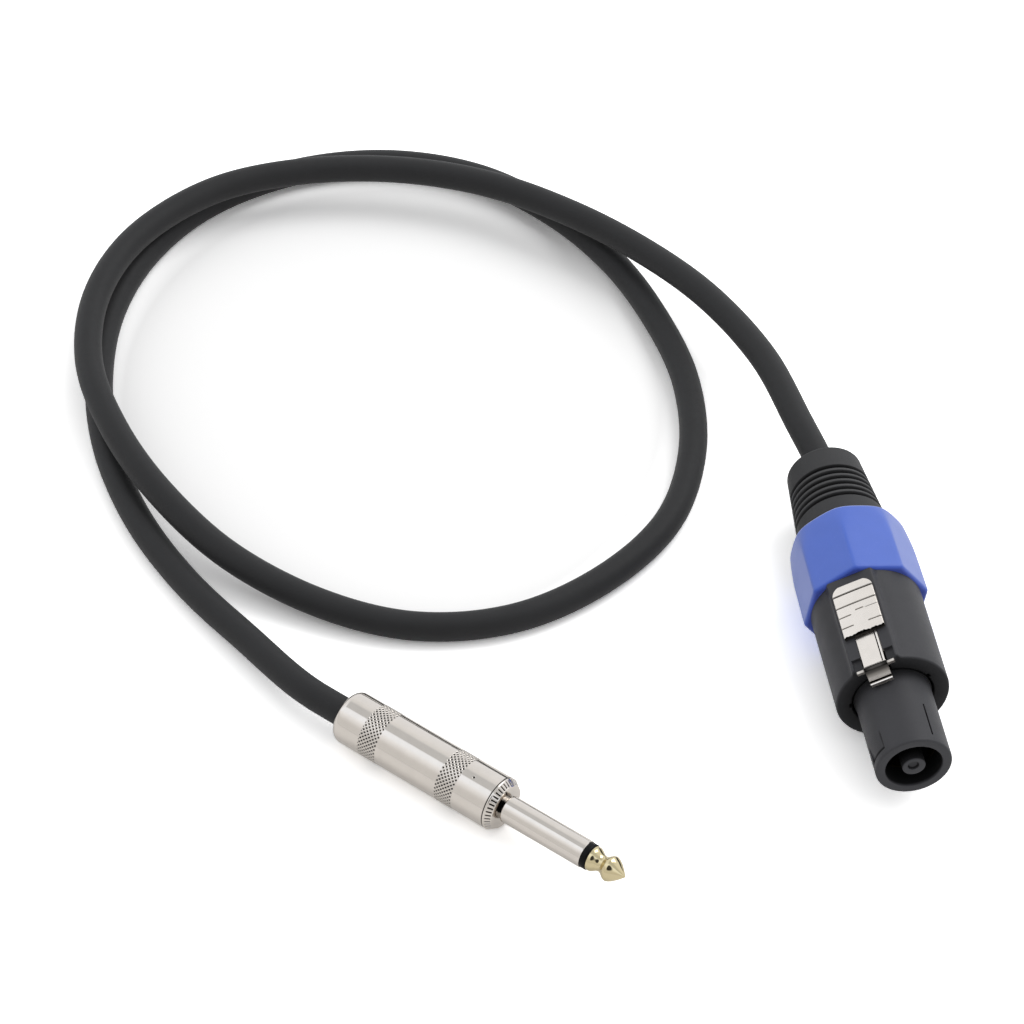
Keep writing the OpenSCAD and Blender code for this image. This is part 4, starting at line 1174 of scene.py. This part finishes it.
def makeBarrel(look):
    angles = np.arange(look["pitsRound"] * look["columnsPerPit"])
    angles = angles * 360 / look["pitsRound"] / look["columnsPerPit"]
    radius, end, front, rounding = look["radius"], look["end"], look["front"], look["rearRounding"]
    # a few rows between the bands, close ones in them and round the punch mark
    stations = [end + 2.9, end + 4.9]
    for back, stop in look["bands"]:
        stations += [back - 0.05, *np.arange(back, stop, 0.08), stop, stop + 0.05]
        stations += [stop + 4, stop + 8]
    middle, turnedTo, size, depth = look["punch"]
    stations = [s for s in stations if s < front - 0.3 and abs(s - middle) > 0.6]
    stations += [*np.arange(middle - 0.5, middle + 0.55, 0.1)]
    stations = np.array(sorted(stations) + [front - 0.12])
    pits = knurl(look, stations, angles)
    across = (angles - turnedTo) * np.radians(1) * radius
    mark = 1 - smoothStep((np.hypot((stations - middle)[:, None], across[None, :]) / size - 0.6) / 0.6)
    # painted shade in the pits, the punch mark, the seam's chamfer and inside, a painted highlight on the
    # ridges
    inBands = [smoothStep(np.minimum(stations - a, b - stations) / 0.2) for a, b in look["bands"]]
    worn = np.where(pits > 0.01, 0.0, -0.9) * np.maximum.reduce(inBands)[:, None]
    hole, bore, floor = look["hole"], look["bore"], look["floor"]
    inner = np.arange(front - 0.6, look["threadEnd"], -0.25)
    thread = bore + look["threadDepth"] * threadWave(inner[:, None], angles[None, :], look["threadPitch"])
    parts = [
        rings([(hole, floor), (hole, end + 0.3)], 0.8),
        rings([(hole + 0.3, end), *arc(radius - rounding, end + rounding, rounding, -90, 0, 12)]),
        (radius - look["pitDepth"] * pits - depth * mark, stations,
         np.maximum(np.clip(2 * pits, 0, 1) + worn, mark)),
        rings([(radius - 0.12, front), (bore + 0.3, front), (bore, front - 0.4)], 1.0),
        (thread, inner, 1.0),
        rings([(bore, look["threadEnd"] - 0.6), (bore, floor)], 1.0),
    ]
    return makePiece("knurled_barrel", [turnedGrid(parts, angles)], atJack, nickelFinish, "barrel",
                     ["jack_barrel"])


makeBarrel(barrel)


# Jack front: collar, sleeve, insulator and tip

jack = {
    "radius": 6.25,
    "collar": 1.9,
    "bevelLength": 1.5,
    "bevelDrop": 1.05,
    "flutes": 40,
    "columnsPerFlute": 10,
    "fluteHalf": 0.14,
    "fluteDepth": 0.28,
    "neck": 2.75,
    "neckShade": (43, 25, 12),  # angle of the neck's dark side, its half width and how softly it ends
    "sleeveBack": 2.55,
    "sleeveEnd": 23.7,
    "sleeve": 3.175,
    "sleeveBore": 1.95,
    "sleeveRear": -9.0,
    "stub": 5.1,  # threaded, in the barrel
    "stubEnd": -8.0,
    "stubThread": 0.3,
    "threadPitch": 1.0,
    "collarBore": 2.35,
    "ring": 3.0,
    "liner": (1.15, 1.85, -13.0),  # radii of the tube behind the ring, and its rear
    "rod": 1.1,
    "rodHead": (1.6, -15.0, -14.0),  # radius and stations
    "tipBack": 25.15,
    "tipLength": 8.85,
    "tipBase": 2.85,  # radii of the tip's shoulder, waist and bulb
    "tipWaist": 1.9,
    "tipBulb": 2.975,
}


def makeCollar(look):
    # bevel with a flute at each share of a turn, deep between its ends
    flutes, neck, collar, bore = look["flutes"], look["neck"], look["collar"], look["collarBore"]
    angles = np.arange(flutes * look["columnsPerFlute"]) * 360 / flutes / look["columnsPerFlute"]
    radius, length, drop = look["radius"], look["bevelLength"], look["bevelDrop"]
    share = np.linspace(0, 1, 25)
    bevelRadii = radius - drop * share
    half = 180 / flutes
    across = np.abs((angles + half) % (2 * half) - half)[None, :] * np.radians(1) * bevelRadii[:, None]
    inFlute = 1 - smoothStep((across - look["fluteHalf"] + 0.06) / 0.12)
    along = smoothStep((share - 0.1) / 0.06) * smoothStep((0.88 - share) / 0.06)
    flute = inFlute * along[:, None]
    stub, depth = look["stub"], look["stubThread"]
    threadStations = np.arange(look["stubEnd"] + 0.3, -0.35, 0.1)
    wave = threadWave(threadStations[:, None], angles[None, :], look["threadPitch"])
    darkest, reach, soft = look["neckShade"]
    away = np.abs((angles - darkest + 180) % 360 - 180)
    neckTone = 1 - 0.75 * smoothStep((away - reach) / soft)
    # painted shade on the flutes, the seam's chamfer, the thread's groove, the bore and one side of the neck
    parts = [
        rings([(bore, look["stubEnd"]), (stub - 0.45, look["stubEnd"])], 1.0),
        (stub - depth + depth * wave, threadStations, 0.8 * (1 - wave)),
        rings([(stub - 0.3, -0.3), (stub - 0.3, 0.0), (radius - 0.12, 0.0)], 1.0),
        rings([(radius, 0.12)]),
        (bevelRadii[:, None] - look["fluteDepth"] * flute, collar - length + length * share, flute),
        rings([(radius - drop - 0.08, collar), (neck + 0.5, collar)], [0.0, 0.1]),
        rings([(neck + 0.2, collar), (neck, collar), (neck, look["sleeveBack"])], neckTone[None, :]),
        rings([(bore, look["sleeveBack"])], 1.0),
    ]
    return makePiece("fluted_collar", [turnedGrid(parts, angles)], atJack, nickelFinish, "lead",
                     ["jack_collar"], sharpAngle=35)


def makeTurned(name, profile, finish, replaced, ends="loop", sides=144):
    # a piece of the jack that is round all over, from radius and station along its skin
    grid = turnedGrid([rings(profile)], np.arange(sides) * 360 / sides, ends)
    return makePiece(name, [grid], atJack, finish, "lead", [replaced])


def tipProfile(look):
    # shoulder, cosine wave to the waist and to the bulb, then a nose with softly bent sides
    length, back, base = look["tipLength"], look["tipBack"], look["tipBase"]
    shoulder, waist, bulb = 0.06 * length, 0.31 * length, 0.57 * length
    t = np.linspace(0, 1, 25)[1:]
    half = (1 - np.cos(np.pi * t)) / 2
    toWaist = np.stack([base + (look["tipWaist"] - base) * half,
                        back + shoulder + (waist - shoulder) * t], axis=-1)
    toBulb = np.stack([look["tipWaist"] + (look["tipBulb"] - look["tipWaist"]) * half,
                       back + waist + (bulb - waist) * t], axis=-1)
    t = np.concatenate([t * 0.97, [1.0]])
    nose = np.stack([look["tipBulb"] * (1 - t**1.45), back + bulb + (length - bulb) * t], axis=-1)
    rod, (head, headRear, headFront) = look["rod"], look["rodHead"]
    rear = [(0, headRear), (head, headRear), (head, headFront), (rod, headFront), (rod, back)]
    edge = [(base - 0.15, back), (base, back + 0.15), (base, back + shoulder)]
    return outline(rear, edge, toWaist, toBulb, nose)


def makePlug(look):
    back, end, radius, bore = look["sleeveBack"], look["sleeveEnd"], look["sleeve"], look["sleeveBore"]
    rear = look["sleeveRear"]
    sleeve = outline([(bore, rear), (bore + 0.35, rear), (bore + 0.35, back), (radius - 0.2, back)],
                     [(radius, back + 0.2)], line((radius, back + 0.4), (radius, end - 0.15), 6),
                     [(radius, end - 0.1), (radius - 0.1, end), (bore, end)])
    makeTurned("plug_sleeve", sleeve, nickelFinish, "jack_sleeve")
    ring, tipBack = look["ring"], look["tipBack"]
    inner, outer, rear = look["liner"]
    insulator = outline([(inner, rear), (outer, rear), (outer, end), (ring - 0.08, end), (ring, end + 0.1)],
                        [(ring, tipBack - 0.1), (ring - 0.08, tipBack), (inner, tipBack)])
    makeTurned("insulator_ring", insulator, ringFinish, "tip_insulator")
    makeTurned("plug_tip", tipProfile(look), goldFinish, "tip_contact", ends="poles")


makeCollar(jack)
makePlug(jack)

tuple(connectorPoint(-45.5) * mm)


# Floor, world and lamps

studio = {
    "floorTone": 0.84,
    "floorLift": 0.04,  # added to what the camera sees
    "floorShine": 0.12,  # added to what reflections see
    "loop": ((-95, 102), (70, 82), 0.85),  # middle and half widths of the cable's loop, where the floor is dimmed as painted shade
    "world": 0.82,
    "brightest": 1.5,
    "roomHeading": jackPlace["heading"],  # the room's long lamps run along the jack
    # what polished metal sees: angle from the zenith round the lamps' heading, and brightness
    "room": [
        (-180, (0.89, 0.89, 0.89)), (-66, (0.89, 0.89, 0.89)), (-58, (0.94, 0.94, 0.94)),
        (-50, (1.07, 1.08, 1.1)), (-42, (1.18, 1.2, 1.23)), (-34, (1.28, 1.32, 1.38)),
        (-26, (1.33, 1.4, 1.5)), (-10, (1.33, 1.4, 1.5)), (30, (1.06, 1.07, 1.08)),
        (46, (1.13, 1.15, 1.18)), (86, (1.16, 1.19, 1.24)), (94, (0.9, 0.9, 0.9)), (180, (0.9, 0.9, 0.9)),
    ],
    "gap": (0.79, 0.81, 0.83),  # between the lamps
    "gapStops": [(-10, 0), (-8, 1), (20, 1), (29, 0)],
    "gapStart": (-0.68, 0.13),  # along the lamps, and how softly
    "spot": ((-0.1065, -0.6936, 0.7125), 0.905, 0.95, 0.95),  # the camera's dark shape and its edges
}


def makeFloor(look):
    # metres: half its width, and its height just under the cable
    size, seat = 6.0, -0.0001
    mesh = bpy.data.meshes.new("floor")
    corners = [(-size, -size, seat), (size, -size, seat), (size, size, seat), (-size, size, seat)]
    mesh.from_pydata(corners, [], [(0, 1, 2, 3)])
    floor = addObject("floor", mesh)
    finish, tree = newFinish("floorFinish")
    tone = look["floorTone"]
    matte = tree.node("ShaderNodeBsdfDiffuse", sockets={"Color": (tone, tone, tone, 1)})
    toCamera, toGloss, through = tree.rays("Is Camera Ray", "Is Glossy Ray", "Is Transmission Ray")
    seen = toCamera * look["floorLift"] + toGloss.largest(through) * look["floorShine"]
    glow = tree.node("ShaderNodeEmission", sockets={"Strength": seen})
    # the camera sees twice the matte light, so that the lit floor is white and only deep shadow shows, and
    # less than that inside the cable's loop, which paints deeper shade there
    middle, half, dimmed = look["loop"]
    scale = [1 / (size * mm) for size in half]
    offset = [-place / size for place, size in zip(middle, half)]
    flat = tree.mapped(tree.node("ShaderNodeTexCoord", output=3), (*scale, 0.0), (*offset, 0.0))
    reach = tree.node("ShaderNodeVectorMath", {"operation": "LENGTH"}, {0: flat}, output=1)
    inLoop = ((1.05 - reach) / 0.12).clipped()
    doubled = tree.node("ShaderNodeAddShader", sockets={0: matte, 1: matte})
    sockets = {0: toCamera * (1.0 - inLoop * dimmed), 1: matte, 2: doubled}
    lit = tree.node("ShaderNodeMixShader", sockets=sockets)
    both = tree.node("ShaderNodeAddShader", sockets={0: lit, 1: glow})
    tree.node("ShaderNodeOutputMaterial", sockets={"Surface": both})
    mesh.materials.append(finish)


def makeWorld(look):
    # the camera sees white and matte surfaces a plain light, polished ones see the room's long lamps
    world = bpy.data.worlds.new("studioWorld")
    bpy.context.scene.world = world
    tree = NodeTree(world)
    toCamera, toGloss = tree.rays("Is Camera Ray", "Is Glossy Ray")
    heading = math.radians(look["roomHeading"])
    direction = tree.node("ShaderNodeTexCoord")
    across = tree.along(direction, (-math.sin(heading), math.cos(heading), 0))
    angle = across.maths("ARCTAN2", tree.along(direction, (0, 0, 1))) / (2 * math.pi) + 0.5
    brightest, (start, soft) = look["brightest"], look["gapStart"]
    room = tree.ramp(angle, [(a / 360 + 0.5, [c / brightest for c in colour]) for a, colour in look["room"]])
    gap = tree.ramp(angle, [(a / 360 + 0.5, [share] * 3) for a, share in look["gapStops"]])
    lengthwise = tree.along(direction, (math.cos(heading), math.sin(heading), 0))
    gap = gap * ((lengthwise - start) / soft).clipped()
    room = tree.mixed(gap, room, [c / brightest for c in look["gap"]])
    towards, outer, inner, share = look["spot"]
    spot = ((tree.along(direction, towards) - outer) / (inner - outer)).clipped()
    room = tree.mixed(spot * share, room, (0, 0, 0))
    level = look["world"]
    colour = tree.mixed(toGloss, (1, 1, 1), room)
    strength = toGloss * (brightest - level) + toCamera * (1 - level) + level
    background = tree.node("ShaderNodeBackground", sockets={"Color": colour, "Strength": strength})
    tree.node("ShaderNodeOutputWorld", sockets={"Surface": background})


def makeLamp(name, location, target, width, height, power):
    data = bpy.data.lights.new(name, "AREA")
    data.shape = "RECTANGLE"
    data.size, data.size_y, data.energy = width, height, power
    aim(addObject(name, data), location, target)


makeFloor(studio)
makeWorld(studio)
makeLamp("keyLamp", (0.55, 0.35, 0.9), (-0.08, 0.05, 0.0), 0.7, 0.7, 4.6)
bpy.context.scene.view_settings.view_transform = "Standard"
print("studio made")
